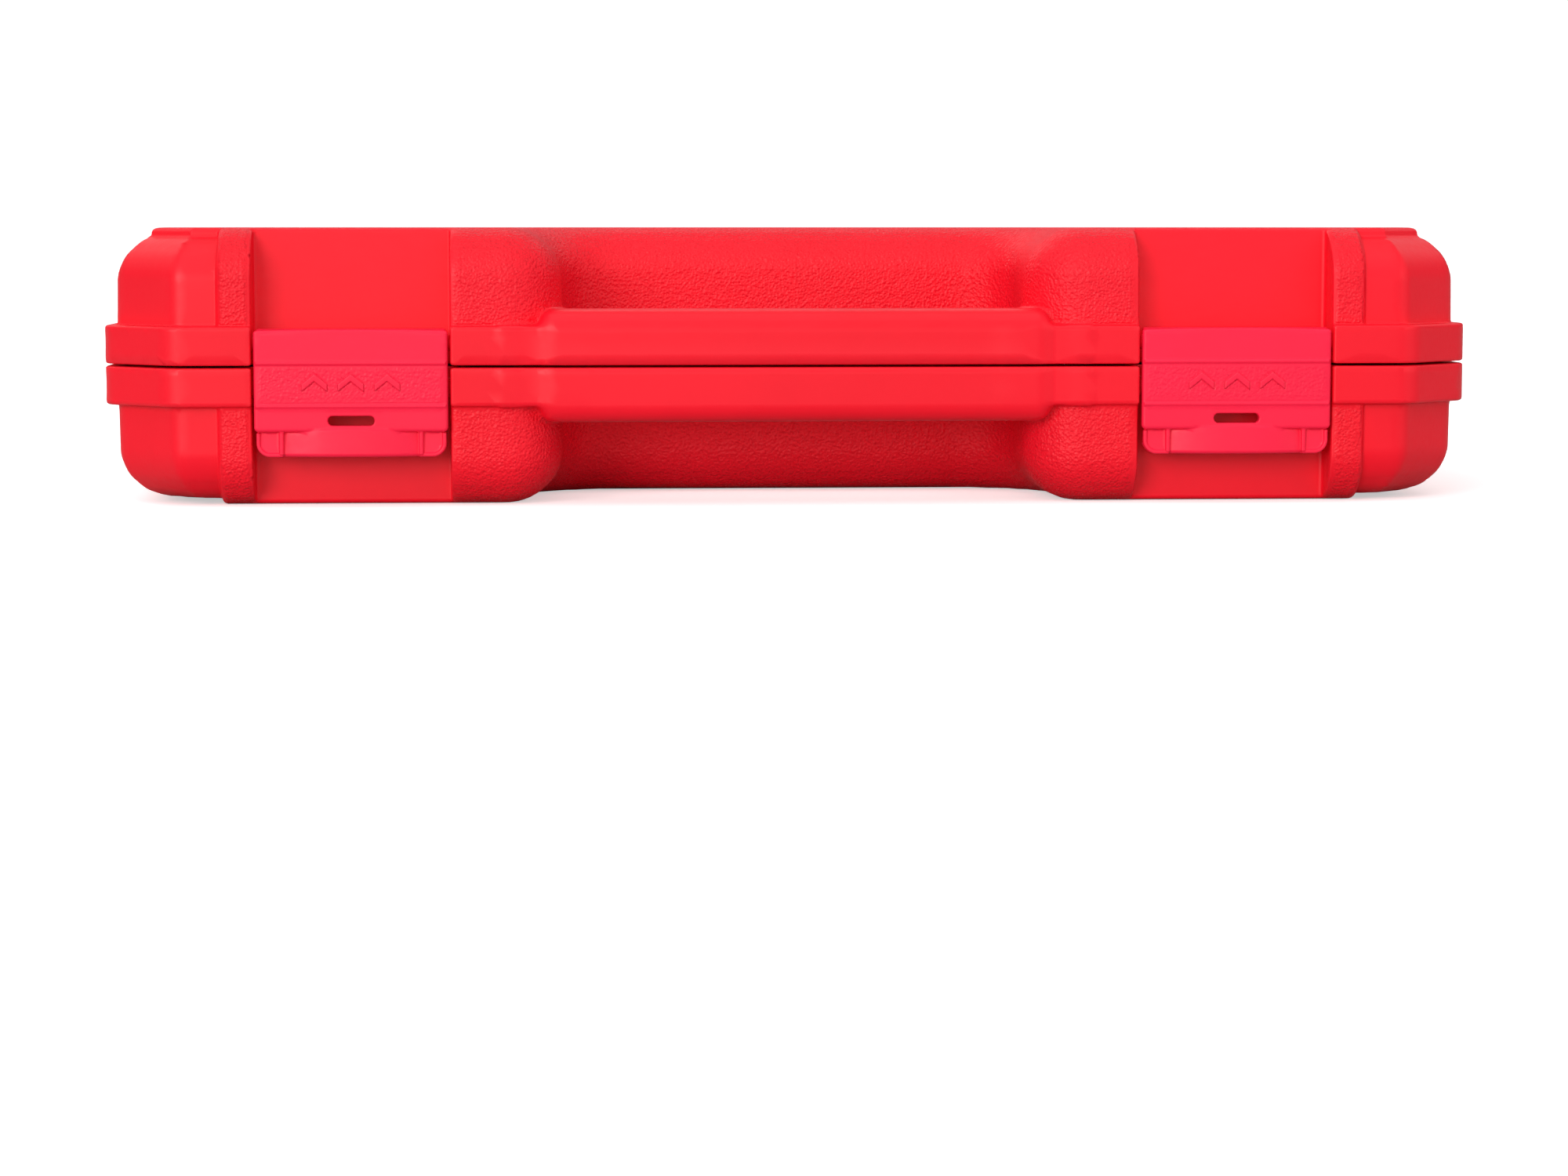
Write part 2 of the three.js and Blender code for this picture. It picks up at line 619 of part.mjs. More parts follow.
for (const bit of BIT_SOCKETS) {
  const body = turnedAlongX([
    [0, 0],
    [BIT.radius - 0.7, 0],
    [BIT.radius, 0.7],
    [BIT.radius, 21],
    [7, BIT.body],
    [0, BIT.body],
  ]);
  const key = solid(geometryOf(prism(hexagon(bit.across), 20, BIT.length)).rotateY(Math.PI / 2));
  const hole = box(-1, 10, -DRIVE / 2 - 0.1, DRIVE / 2 + 0.1, -DRIVE / 2 - 0.1, DRIVE / 2 + 0.1);
  add(bit.name, cut(join(body, key), hole), satin, at(BIT.x, bit.y, BIT.z));
}

// ---------- extension bars and adapter ----------
const squareAlongX = (x0, x1, size) => box(x0, x1, -size / 2, size / 2, -size / 2, size / 2);

function extensionBar(length) {
  const shank = turnedAlongX([
    [0, 0],
    [7.8, 0],
    [8.5, 0.8],
    [8.5, 19],
    [5.4, 25],
    [5.4, length - 22],
    [7, length - 18],
    [7, length - 11],
    [0, length - 11],
  ]);
  return cut(join(shank, squareAlongX(length - 12, length, DRIVE)), squareAlongX(-1, 10, DRIVE + 0.2));
}

add("extension_bar_150", extensionBar(LONG_BAR.length), chrome, at(LONG_BAR.x, LONG_BAR.y, LONG_BAR.z));
add(
  "extension_bar_75",
  extensionBar(SHORT_BAR.length),
  chrome,
  at(SHORT_BAR.x, SHORT_BAR.y, SHORT_BAR.z),
);

function adapter() {
  const { length, radius } = ADAPTER;
  const body = turnedAlongX([
    [0, 0],
    [radius - 0.7, 0],
    [radius, 0.7],
    [radius, 14],
    [5.5, 18],
    [0, 18],
  ]);
  return cut(join(body, squareAlongX(17, length, 6.35)), squareAlongX(-1, 10, DRIVE + 0.2));
}

add("drive_adapter", adapter(), chrome, at(ADAPTER.x, ADAPTER.y, ADAPTER.z));

// ---------- universal joint ----------
// Each yoke is a turned body with two ears; the cross turns in both pairs of ears.
const CROSS = { block: 6.4, pin: 2.2, bore: 2.45, reach: 8.6 };
const YOKE = { throat: 8.6, shoulder: 11.4, bevel: 2.6, earTip: -3.6, earHalf: 3.5, earInner: 5.1 };

function yoke(bodyRadius) {
  const { throat, shoulder, bevel, earTip, earHalf, earInner } = YOKE;
  const body = turnedAlongX([
    [0, throat],
    [bodyRadius - bevel, throat],
    [bodyRadius, shoulder],
    [bodyRadius, 13.5],
    [bodyRadius - 0.8, 25],
    [0, 25],
  ]);
  const stem = turnedAlongX([
    [0, earTip],
    [bodyRadius, earTip],
    [bodyRadius, shoulder + 1],
    [0, shoulder + 1],
  ]);
  const ears = stem.intersect(
    join(
      box(-6, 13, earInner, 12, -earHalf, earHalf),
      box(-6, 13, -12, -earInner, -earHalf, earHalf),
    ),
  );
  return cut(join(body, ears), rodAlongY(0, 0, CROSS.bore, -12, 12, 12));
}

function socketYoke() {
  const made = cut(yoke(9.2), squareAlongX(14, 26, DRIVE + 0.2));
  return solid(geometryOf(made).rotateZ(Math.PI));
}

function driveYoke() {
  const made = join(yoke(8.6), squareAlongX(24, 28, 10.4), squareAlongX(24, 36, DRIVE));
  return solid(geometryOf(cut(made, box(28.4, 60, -9, 9, -9, 9))).rotateX(Math.PI / 2));
}

function cross() {
  const half = CROSS.block / 2;
  return join(
    box(-half, half, -half, half, -half, half),
    rodAlongY(0, 0, CROSS.pin, -CROSS.reach, CROSS.reach, 12),
    rod(0, 0, CROSS.pin, -CROSS.reach, CROSS.reach, 12),
  );
}

const jointPlace = at(JOINT.x, JOINT.y, JOINT.z);
add("universal_joint_socket_yoke", socketYoke(), satin, jointPlace);
add("universal_joint_drive_yoke", driveYoke(), satin, jointPlace);
add("universal_joint_cross", cross(), steel, jointPlace);

// ---------- ratchet, lying on its drive, in its own frame with the drive axis at the origin ----------
const GEAR = { teeth: 36, tip: 10.8, root: 9.9, bore: 11.4, low: 26.3, high: 34.6 };
const PAWL = { x: 16.2, reach: 8.238, half: 34.77, rest: 3.57 };
const COVER = { low: 34.9, high: 36.3 };
const SCREW = { x: -2, y: 13.4, head: 1.8, shank: 1.1 };

function ratchetBody() {
  const head = prism(headOutline(0), HEAD.low, HEAD.high);
  const grip = turnedAlongX([
    [0, 20],
    [5.2, 20],
    [5, 40],
    [4.6, 62],
    [5.6, 78],
    [8.2, 92],
    [8.6, 130],
    [8.2, 172],
    [7.4, 186],
    [5, 191],
    [0, 191.5],
  ]);
  const pocketFloor = GEAR.low - 0.3;
  return cut(
    join(head, raise(grip, RATCHET.z)),
    rod(0, 0, GEAR.bore, pocketFloor, 40, 32),
    rod(PAWL.x, 0, 9, pocketFloor, 40, 20),
    rod(0, 0, 8.3, 20, 30, 24),
    prism(headOutline(2.2), COVER.low - 0.2, 40),
    screwPlaces().map(([x, y]) => rod(x, y, SCREW.shank + GAP, 28.6, 36, 8)),
  );
}

function screwPlaces() {
  return [
    [SCREW.x, SCREW.y],
    [SCREW.x, -SCREW.y],
  ];
}

function ratchetCover() {
  return cut(
    prism(headOutline(2.6), COVER.low, COVER.high),
    rod(0, 0, 5.6, 30, 40, 20),
    rod(PAWL.x, 0, 3.4, 30, 40, 12),
    screwPlaces().map(([x, y]) => rod(x, y, SCREW.shank + GAP, 30, 40, 8)),
    screwPlaces().map(([x, y]) => rod(x, y, SCREW.head + GAP, COVER.high - 0.7, 40, 8)),
  );
}

function coverScrew() {
  return join(
    rod(0, 0, SCREW.head, COVER.high - 0.45, COVER.high + 0.3, 8),
    rod(0, 0, SCREW.shank, 29, COVER.high, 8),
  );
}

function driveGear() {
  const rim = Array.from({ length: 2 * GEAR.teeth }, (_, i) => {
    const angle = (i * Math.PI) / GEAR.teeth;
    const radius = i % 2 ? GEAR.root : GEAR.tip;
    return new THREE.Vector2(radius * Math.cos(angle), radius * Math.sin(angle));
  });
  const half = DRIVE / 2;
  return cut(
    join(
      prism(rim, GEAR.low, GEAR.high),
      rod(0, 0, 8, 24, GEAR.low + 1, 24),
      rod(0, 0, 5.2, GEAR.high - 1, 37.2, 20),
      box(-half, half, -half, half, 13, 24.5),
    ),
    rod(0, 0, 3.5, 27.6, 40, 16),
    rod(0, 0, 1.75, 14, 30, 12),
    rodAlongY(0, 17, 1.9, -half - 1, 0, 10),
  );
}

// The button's stem runs down through the square, and its neck lets the ball in when pressed.
function releaseButton() {
  const profile = [
    [0, 15.4],
    [1.4, 15.4],
    [1.4, 17.3],
    [0.7, 17.9],
    [0.7, 20.2],
    [1.4, 20.8],
    [1.4, 29.4],
    [3.1, 29.4],
    [3.1, 37.4],
    [2.6, 37.4],
    [2.6, 38.6],
    [0, 38.6],
  ];
  return turnedUp(profile, 12);
}

function detentBall() {
  return solid(new THREE.SphereGeometry(1.6, 10, 6).translate(0, -3.75, 17));
}

// The pawl engages the gear with its +Y tooth at rest; the selector rocks it to the other one.
function pawl() {
  const half = (PAWL.half * Math.PI) / 180;
  const tooth = [
    [-PAWL.reach * Math.cos(half), PAWL.reach * Math.sin(half)],
    [-4.2, 4.2],
    [-3.9, 0],
  ];
  const back = [
    [-5.6, 6.3],
    [-3, 6.9],
    [2, 3.4],
  ];
  const upper = [...[...tooth].reverse(), ...back];
  const lower = [...upper.slice(1)].reverse().map(([x, y]) => [x, -y]);
  const outline = [...upper, ...lower].map(([x, y]) => new THREE.Vector2(x, y));
  const turn = (PAWL.rest * Math.PI) / 180;
  const made = prism(outline.reverse(), GEAR.low + 0.2, GEAR.high - 0.6);
  return solid(geometryOf(cut(made, rod(0, 0, 1.9, 20, 40, 12))).rotateZ(turn).translate(PAWL.x, 0, 0));
}

function selector() {
  const thumb = box(0, 11.5, -2.2, 2.2, COVER.high + 0.4, 39.4);
  const knob = join(
    rod(0, 0, 5.6, COVER.high + 0.4, 38.6, 20),
    thumb,
    rod(0, 0, 1.6, GEAR.low + 0.3, 38, 12),
  );
  return solid(geometryOf(knob).rotateZ(-0.35).translate(PAWL.x, 0, 0));
}

const ratchetPlace = at(RATCHET.x, RATCHET.y);
add("ratchet_body", ratchetBody(), chrome, ratchetPlace);
add("ratchet_cover", ratchetCover(), satin, ratchetPlace);
add("ratchet_drive_gear", driveGear(), steel, ratchetPlace);
add("ratchet_pawl", pawl(), steel, ratchetPlace);
add("ratchet_selector", selector(), satin, ratchetPlace);
add("ratchet_release_button", releaseButton(), steel, ratchetPlace);
add("ratchet_detent_ball", detentBall(), steel, ratchetPlace);
screwPlaces().forEach(([x, y], i) => {
  add(`ratchet_cover_screw_${i + 1}`, coverScrew(), blackSteel, at(RATCHET.x + x, RATCHET.y + y));
});

export default set;
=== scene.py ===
"""Looks for the socket wrench set in its blow-moulded case.

Lengths are in millimetres inside the modelling functions and become metres in the meshes.
The case, its bed and its latches are solids given by distance fields: a field is a function of
x, y, z that is negative inside, and mesh_of() turns it into a mesh with exact normals.
The tools are rings of points joined into closed bodies.
"""

import math
from functools import reduce

import bpy
import numpy as np
import openvdb as vdb
from mathutils import Matrix, Vector


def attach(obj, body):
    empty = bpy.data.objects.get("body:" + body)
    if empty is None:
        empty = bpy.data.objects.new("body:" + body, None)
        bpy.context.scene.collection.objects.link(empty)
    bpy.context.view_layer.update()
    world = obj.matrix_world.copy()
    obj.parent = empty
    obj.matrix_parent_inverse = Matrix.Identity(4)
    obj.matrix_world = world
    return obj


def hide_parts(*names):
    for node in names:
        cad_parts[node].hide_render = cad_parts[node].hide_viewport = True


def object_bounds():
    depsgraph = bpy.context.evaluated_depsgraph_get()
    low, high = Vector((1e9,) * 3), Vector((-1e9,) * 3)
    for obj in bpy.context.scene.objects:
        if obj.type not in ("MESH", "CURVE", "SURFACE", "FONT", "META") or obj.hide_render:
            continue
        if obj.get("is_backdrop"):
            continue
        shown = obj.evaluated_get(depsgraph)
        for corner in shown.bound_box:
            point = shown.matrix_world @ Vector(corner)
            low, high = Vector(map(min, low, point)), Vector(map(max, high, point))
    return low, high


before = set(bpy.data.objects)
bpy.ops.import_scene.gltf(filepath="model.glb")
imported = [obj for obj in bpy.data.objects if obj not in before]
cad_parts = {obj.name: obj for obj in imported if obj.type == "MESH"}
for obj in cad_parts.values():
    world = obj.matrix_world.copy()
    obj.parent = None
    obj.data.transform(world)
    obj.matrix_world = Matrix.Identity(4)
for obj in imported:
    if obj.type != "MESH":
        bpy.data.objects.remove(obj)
cad_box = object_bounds()
scene = bpy.context.scene

MM = 0.001

# ---------- dimensions of the case, shared by its pieces ----------
PARTING = 35.0
LID_TOP = 69.5
GAP = 0.3
SMOOTH_DROP = 1.3  # how far the smooth faces lie under the raised panel
SIDE_X = 171.0
FRONT_Y = 130.5
REAR_Y = 125.7
CORNER = 16.2
RIM_OUT = 3.0
RIM_HEIGHT = 10.0
RIB_OUT = 1.5
EDGE_INSET = 8.6
EDGE_HEIGHT = 7.7
EDGE_SOFT = 3.2
RECESS_HALF_BACK = 44.0
RECESS_BACK = -84.5
RECESS_ARC = 16.0
MOUTH_X = 74.0
MOUTH_ARC = 14.0
BAY_X = 111.15
BAY_HALF = 24.65
BAY_WALL = -121.8
BAY_REACH = 60
DRAFT = 0.4  # how far the walls lean in over their height
LATCH_Y = -130.0
LATCH_Z = 40.8
HINGE_Y = 130.7
HINGE_X = 101.3
KNUCKLE = 19.8
KNUCKLE_R = 3.8
PIN_BORE = 1.7
FOOT_FACE = 134.5
WALL = 2.0
BED_TOP = 29.0
LINER_FACE = 46.0


# ---------- distance fields ----------
def round_max(a, b, r):
    """Where both solids are, with the edge between them rounded."""
    return np.minimum(-r, np.maximum(a, b)) + np.hypot(np.maximum(a + r, 0), np.maximum(b + r, 0))


def round_min(a, b, r):
    """Where either solid is, with a fillet between them."""
    return np.maximum(r, np.minimum(a, b)) - np.hypot(np.maximum(r - a, 0), np.maximum(r - b, 0))


def rectangle(x, y, half_x, half_y, r):
    """A rectangle with round corners, centred on the origin."""
    qx = np.abs(x) - (half_x - r)
    qy = np.abs(y) - (half_y - r)
    return np.hypot(np.maximum(qx, 0), np.maximum(qy, 0)) + np.minimum(np.maximum(qx, qy), 0) - r


def panel(x, y, x0, x1, y0, y1, r):
    """A rectangle with round corners, given by its sides."""
    return rectangle(x - (x0 + x1) / 2, y - (y0 + y1) / 2, (x1 - x0) / 2, (y1 - y0) / 2, r)


def polygon(points, x, y):
    """Distance to a closed outline, negative inside."""
    x, y = np.broadcast_arrays(x, y)
    nearest = np.full(x.shape, 1e9, np.float32)
    inside = np.zeros(x.shape, bool)
    for (ax, ay), (bx, by) in zip(points, points[1:] + points[:1]):
        ex, ey = bx - ax, by - ay
        wx, wy = x - ax, y - ay
        along = np.clip((wx * ex + wy * ey) / (ex * ex + ey * ey), 0, 1)
        nearest = np.minimum(nearest, (wx - ex * along) ** 2 + (wy - ey * along) ** 2)
        if ay != by:
            inside ^= ((ay > y) != (by > y)) & (x < ex * wy / ey + ax)
    return np.where(inside, -np.sqrt(nearest), np.sqrt(nearest))


def arc(cx, cy, radius, start, end, steps=10):
    """Points on a circle from one angle to another, in degrees."""
    angles = [math.radians(start + (end - start) * i / steps) for i in range(steps + 1)]
    return [(cx + radius * math.cos(a), cy + radius * math.sin(a)) for a in angles]


SOFTEN = 6.0  # radius of the plan corners
PLAN_MIDDLE = -60.0  # the half outline closes beyond x = 0, where it has no effect


def plan(x, y):
    """Distance to the body wall in plan. The outline is the right half of the case."""
    corner = CORNER - SOFTEN * (2 - math.sqrt(2))
    side, front, rear = SIDE_X - SOFTEN, SOFTEN - FRONT_Y, REAR_Y - SOFTEN
    points = [(PLAN_MIDDLE, RECESS_BACK + SOFTEN)]
    points += arc(RECESS_HALF_BACK, RECESS_BACK - RECESS_ARC, RECESS_ARC + SOFTEN, 90, 0)
    points += arc(MOUTH_X, MOUTH_ARC - FRONT_Y, MOUTH_ARC - SOFTEN, 180, 270)
    points += [(side - corner, front), (side, front + corner)]
    points += [(side, rear - corner), (side - corner, rear), (PLAN_MIDDLE, rear)]
    return polygon(points, np.abs(x), y) - SOFTEN


def bay(x, y):
    """The recess that a latch sits in, open to the front."""
    return rectangle(np.abs(x) - BAY_X, y - BAY_WALL + BAY_REACH, BAY_HALF, BAY_REACH, 0.8)


def body_profile(u, t, grow, top, soft):
    """Section of the body: u is the distance from the wall in plan, t the height over the parting."""
    wall = u - grow + DRAFT * t / (top - EDGE_HEIGHT)
    run, rise = EDGE_INSET - DRAFT, EDGE_HEIGHT
    slope = ((u - grow + DRAFT) * rise + (t - top + rise) * run) / math.hypot(run, rise)
    return round_max(round_max(wall, slope, soft), t - top, soft)


RIB_HALF = 16.8
REAR_RIBS = (0.0, 63.2, 126.8)
SIDE_RIBS = (-62.0, 0.0, 62.0)
FRONT_RIB_OUTER = 144.2
RIB_INNER_X, RIB_INNER_Y = 137.0, 78.0  # how far in the ribs reach
FRONT_DEPTH = -55.0  # how far back the front shoulders reach
RIB_EDGE = 1.1


def raised_zone(x, y, u, of_lid):
    """Plan areas where the wall is raised and grained: ribs, shoulders, handle recess, lid panel."""
    x = np.abs(x)
    rear = np.minimum.reduce([np.abs(x - c) - RIB_HALF for c in REAR_RIBS])
    rear = np.maximum(rear, RIB_INNER_Y - y)
    side = np.minimum.reduce([np.abs(y - c) - RIB_HALF for c in SIDE_RIBS])
    side = np.maximum(side, RIB_INNER_X - x)
    front = np.maximum(x - FRONT_RIB_OUTER, y - FRONT_DEPTH)
    zones = np.minimum(np.minimum(rear, side), front)
    return np.minimum(zones, u + EDGE_INSET + 0.3) if of_lid else zones


def foot(x, y, t, face_halves, root_halves, low, high, end_slope, lean):
    """A foot at the rear. Its face changes width from the parting outwards and its flanks flare."""
    along = np.clip((t - low) / (high - low), -0.2, 1.3)
    out = np.minimum((FOOT_FACE - y) / 7.8, 1.3)
    face = face_halves[0] + (face_halves[1] - face_halves[0]) * along
    root = root_halves[0] + (root_halves[1] - root_halves[0]) * along
    side = (np.abs(x) - face - (root - face) * out) / 1.2
    near_end = (low - 0.3 * (FOOT_FACE - y) - t) / 1.05
    far_end = (t - high - end_slope * (FOOT_FACE - y)) / 1.2
    ends = np.maximum(near_end, far_end)
    front = np.maximum(y - FOOT_FACE, (y - FOOT_FACE + lean * (t - high + 8)) / 1.03)
    deep = np.maximum(REAR_Y - 4 - y, t - high - 2.5)
    return np.maximum(round_max(round_max(side, ends, 3.2), front, 1.8), deep)


def knuckles(x, y, t, of_lid):
    """Hinge barrels in a row, alternately on the lid and on the base, with a bore for the pin."""
    x = np.abs(x) - HINGE_X
    offset = np.abs(x) if of_lid else np.abs(np.abs(x) - KNUCKLE)
    ends = offset - (KNUCKLE / 2 - 0.16)
    barrel = np.hypot(y - HINGE_Y, t) - KNUCKLE_R
    third = offset - KNUCKLE / 6
    middle = round_max(round_max(barrel, -1.7 - t, 0.5), third, 0.4)
    sides = round_max(round_max(barrel, t - 2.0, 0.5), ends, 0.6)
    sides = round_max(sides, -(third + 0.01), 0.4)
    core = np.maximum(np.maximum(barrel, np.abs(t) - 1.6), ends)
    bore = PIN_BORE - np.hypot(y - HINGE_Y, t)
    lug = np.maximum(rectangle(y - HINGE_Y + 3.0, t - 2.1, 4.2, 1.6, 0.4), ends)
    return np.maximum(np.minimum(np.minimum(middle, sides), round_min(core, lug, 0.4)), bore)


def notches(x, y, t, of_lid):
    """Room in the rim for the other half's knuckles."""
    x = np.abs(x) - HINGE_X
    offset = np.abs(np.abs(x) - KNUCKLE) if of_lid else np.abs(x)
    ends = offset - (KNUCKLE / 2 + 0.15)
    round_room = np.hypot(y - HINGE_Y, t) - KNUCKLE_R - 0.4
    open_room = np.maximum(HINGE_Y - 4.2 - y, t - KNUCKLE_R - 0.6)
    return np.maximum(ends, np.minimum(round_room, open_room))


# A foot: half widths of its face, then of its root, each at the parting end and at the far end; the
# heights where it starts and ends; the slope of its far end; how far its face leans back there.
LID_FOOT = ((23.2, 19.8), (25.6, 27.1), 6.5, 30, 0.5, 0.22)
BASE_FOOT = ((23.3, 19.2), (25.1, 25.0), 6.5, 30.3, 0.35, 0.0)
HANDLE_HALF = 64.5


def handle_section(y, t):
    """The grip's section, the same all along it."""
    return rectangle(y + 123.5, t, 10.9, 14.1, 4.5)


def handle_root(x, y, t):
    """Where the rim runs on, flat, into the face of the handle."""
    ends = np.abs(np.abs(x) - HANDLE_HALF + 1.5) - 11.5
    block = round_max(ends, -FRONT_Y - RIM_OUT - y, 1.0)
    return round_max(block, np.maximum(t - RIM_HEIGHT, y + 118), 0.8)


def feet(x, y, t, of_lid):
    return foot(x, y, t, *LID_FOOT) if of_lid else foot(np.abs(x) - HINGE_X, y, t, *BASE_FOOT)


def half_depth(of_lid):
    return LID_TOP - PARTING if of_lid else PARTING


def case_half(of_lid):
    """Half of the case, standing on the parting plane, as a field of x, y and height t."""
    depth = half_depth(of_lid)

    def field(x, y, t):
        u = plan(x, y)
        smooth = body_profile(u, t, 0, depth - SMOOTH_DROP, EDGE_SOFT)
        raised = body_profile(u, t, RIB_OUT, depth, EDGE_SOFT)
        ribs = round_max(raised, raised_zone(x, y, u, of_lid), RIB_EDGE)
        body = round_min(smooth, ribs, 0.7)
        rim = round_max(u - RIM_OUT, t - RIM_HEIGHT, 0.8)
        body = round_min(body, rim, 0.5)
        handle = round_max(handle_section(y, t), np.abs(x) - HANDLE_HALF, 4.0)
        body = round_min(body, round_min(handle, handle_root(x, y, t), 1.6), 1.2)
        body = round_min(body, feet(x, y, t, of_lid), 1.4)
        room = bay(x, y)
        body = round_max(body, -room, 0.6)
        body = round_max(body, GAP - t, 0.6)
        hollow = np.maximum(body_profile(u, t, -WALL, depth - SMOOTH_DROP - WALL, 1.0), WALL - room)
        body = np.maximum(body, -hollow)
        body = round_max(body, -notches(x, y, t, of_lid), 0.4)
        across = np.abs(np.abs(x) - BAY_X) - BAY_HALF - 1
        if of_lid:
            fitting = np.hypot(y - LATCH_Y, t - LATCH_Z + PARTING) - 1.9
        else:
            fitting = rectangle(y + 126, t - 5.5, 4.6, 2.0, 0.8)
        body = round_min(body, np.maximum(fitting, across), 0.6)
        return np.minimum(body, knuckles(x, y, t, of_lid))

    return field


def case_grain(of_lid):
    """How far a point of a case half is grained: 1 on raised areas, 0 on rim, handle, bays and feet."""
    depth = half_depth(of_lid)

    def mask(x, y, t):
        u = plan(x, y)
        zone = raised_zone(x, y, u, of_lid)
        raised = round_max(body_profile(u, t, RIB_OUT, depth, EDGE_SOFT), zone, RIB_EDGE)
        on_rib = np.clip(1.6 - np.abs(raised) * 2.2, 0, 1)
        off_rim = np.clip((t - RIM_HEIGHT - 0.2) * 2, 0, 1)
        off_bay = np.clip((bay(x, y) - 0.8) * 2, 0, 1)
        off_edge = np.clip((-zone - 0.5) * 1.5, 0, 1)
        off_foot = np.clip(feet(x, y, t, of_lid) - 0.4, 0, 1)
        off_handle = np.clip(np.maximum(handle_section(y, t), np.abs(x) - 62) - 0.3, 0, 1)
        return on_rib * off_rim * off_bay * off_edge * off_foot * off_handle

    return mask


# ---------- meshes ----------
def gradient(field, points, h=0.04):
    """How a field changes along x, y and z at each point."""
    parts = []
    for axis in range(3):
        step = np.zeros(3)
        step[axis] = h
        high = field(*(points + step).T)
        low = field(*(points - step).T)
        parts.append((high - low) / (2 * h))
    return np.stack(parts, 1)


def object_of(name, vertices, faces, material, normals=None):
    """A smooth-shaded object from corners in millimetres."""
    mesh = bpy.data.meshes.new(name)
    mesh.from_pydata((np.asarray(vertices) * MM).tolist(), [], faces)
    mesh.materials.append(material)
    mesh.polygons.foreach_set("use_smooth", np.ones(len(mesh.polygons), bool))
    mesh.update()
    if normals is not None:
        mesh.normals_split_custom_set_from_vertices(normals.tolist())
    piece = bpy.data.objects.new(name, mesh)
    scene.collection.objects.link(piece)
    return piece


def mesh_of(name, field, low, high, step, adaptivity, material, mirrored=False, grain=None):
    """A mesh of a field's zero surface. A mirrored field is symmetric in x, and low[0] is 0."""
    low, high = np.array(low, float), np.array(high, float)
    counts = np.ceil((high - low) / step).astype(int) + 1
    x, y, z = (low[i] + step * np.arange(counts[i], dtype=np.float32) for i in range(3))
    values = field(x[:, None, None], y[None, :, None], z[None, None, :])
    band = 3 * step
    values = np.clip(values, -band, band).astype(np.float32)
    if mirrored:
        values = np.concatenate([values[:0:-1], values], 0)
        low = low - np.array([step * (counts[0] - 1), 0, 0])
    grid = vdb.FloatGrid(band)
    grid.copyFromArray(np.ascontiguousarray(values))
    points, triangles, quads = grid.convertToPolygons(0.0, adaptivity)
    points = points.astype(float) * step + low
    for _ in range(2):
        slope = gradient(field, points)
        length2 = np.maximum((slope**2).sum(1), 0.25)
        move = slope * (field(*points.T) / length2)[:, None]
        size = np.linalg.norm(move, axis=1, keepdims=True)
        points -= move * np.minimum(1, 0.6 * step / np.maximum(size, 1e-9))
    normals = gradient(field, points)
    normals /= np.maximum(np.linalg.norm(normals, axis=1, keepdims=True), 1e-9)
    faces = triangles.tolist() + quads.tolist()
    piece = object_of(name, points, faces, material, normals)
    if grain is not None:
        layer = piece.data.attributes.new("grain", "FLOAT", "POINT")
        layer.data.foreach_set("value", grain(*points.T).astype(np.float32))
    return piece


# ---------- ring bodies: closed pieces made of rings of points round an axis ----------
AROUND = 96
ANGLES = np.arange(AROUND) * 2 * math.pi / AROUND


def circle_of(radius):
    return np.full(AROUND, float(radius))


def rounds(*stations):
    """Round rings from pairs of height and radius."""
    return [(height, circle_of(radius)) for height, radius in stations]


def sided(across, sides, corner_radius=None, turned=0.0):
    """Distance from the axis to a regular outline with that many sides, corners at 0 degrees."""
    slice_angle = 2 * math.pi / sides
    radii = across / 2 / np.cos((ANGLES - turned) % slice_angle - slice_angle / 2)
    return radii if corner_radius is None else np.minimum(radii, corner_radius)


def hexagon(across):
    return sided(across, 6)


def square(across, corner_radius=None):
    return sided(across, 4, corner_radius, math.pi / 4)


def placed(axis, x, y, z):
    """The matrix that lays a piece made along +Z along another axis and moves it there."""
    turns = {
        "Z": Matrix.Identity(4),
        "X": Matrix.Rotation(math.pi / 2, 4, "Y"),
        "-Y": Matrix.Rotation(math.pi / 2, 4, "X"),
    }
    return Matrix.Translation((x, y, z)) @ turns[axis]


def ring_body(name, rings, matrix, material, through=False, sharp=28.0):
    """Joins rings of (height, radii). A through body's last ring joins its first one."""
    matrix = np.array(matrix)
    points = []
    for height, radii in rings:
        ring = [radii * np.cos(ANGLES), radii * np.sin(ANGLES), circle_of(height), circle_of(1)]
        points.append((matrix @ np.stack(ring))[:3].T)
    faces = []
    count = len(rings)
    for row in range(count if through else count - 1):
        low, high = row * AROUND, (row + 1) % count * AROUND
        for i in range(AROUND):
            j = (i + 1) % AROUND
            faces.append((low + i, low + j, high + j, high + i))
    if not through:
        last = (count - 1) * AROUND
        faces.append(tuple(reversed(range(AROUND))))
        faces.append(tuple(range(last, last + AROUND)))
    piece = object_of(name, np.concatenate(points), faces, material)
    piece.data.set_sharp_from_angle(angle=math.radians(sharp))
    return piece


def knurl(radius, low, high, depth=0.22, rows=9):
    """A band of diamond knurling between two plain edges."""
    rings = rounds((low, radius - depth))
    for row in range(rows):
        height = low + (high - low) * (row + 0.5) / rows
        tips = (np.arange(AROUND) + row) % 2
        rings.append((height, radius - depth * (1 - tips)))
    return rings + rounds((high, radius - depth))


def hole(top, depth, outline, lead_radius, inner_radius, lead=1.2):
    """Rings down a shaped hole whose mouth is broken by a cone, ending at a round bore."""
    rings = []
    for i in range(6):
        drop = lead * i / 5
        rings.append((top - drop, np.maximum(outline, lead_radius - drop)))
    rings.append((top - depth + 0.5, outline))
    rings.append((top - depth, np.minimum(outline, inner_radius + 0.6)))
    return rings + rounds((top - depth - 0.05, inner_radius))


DRIVE = 9.5
DRIVE_HOLE = DRIVE + 0.2
HOLE_DEPTH = 10


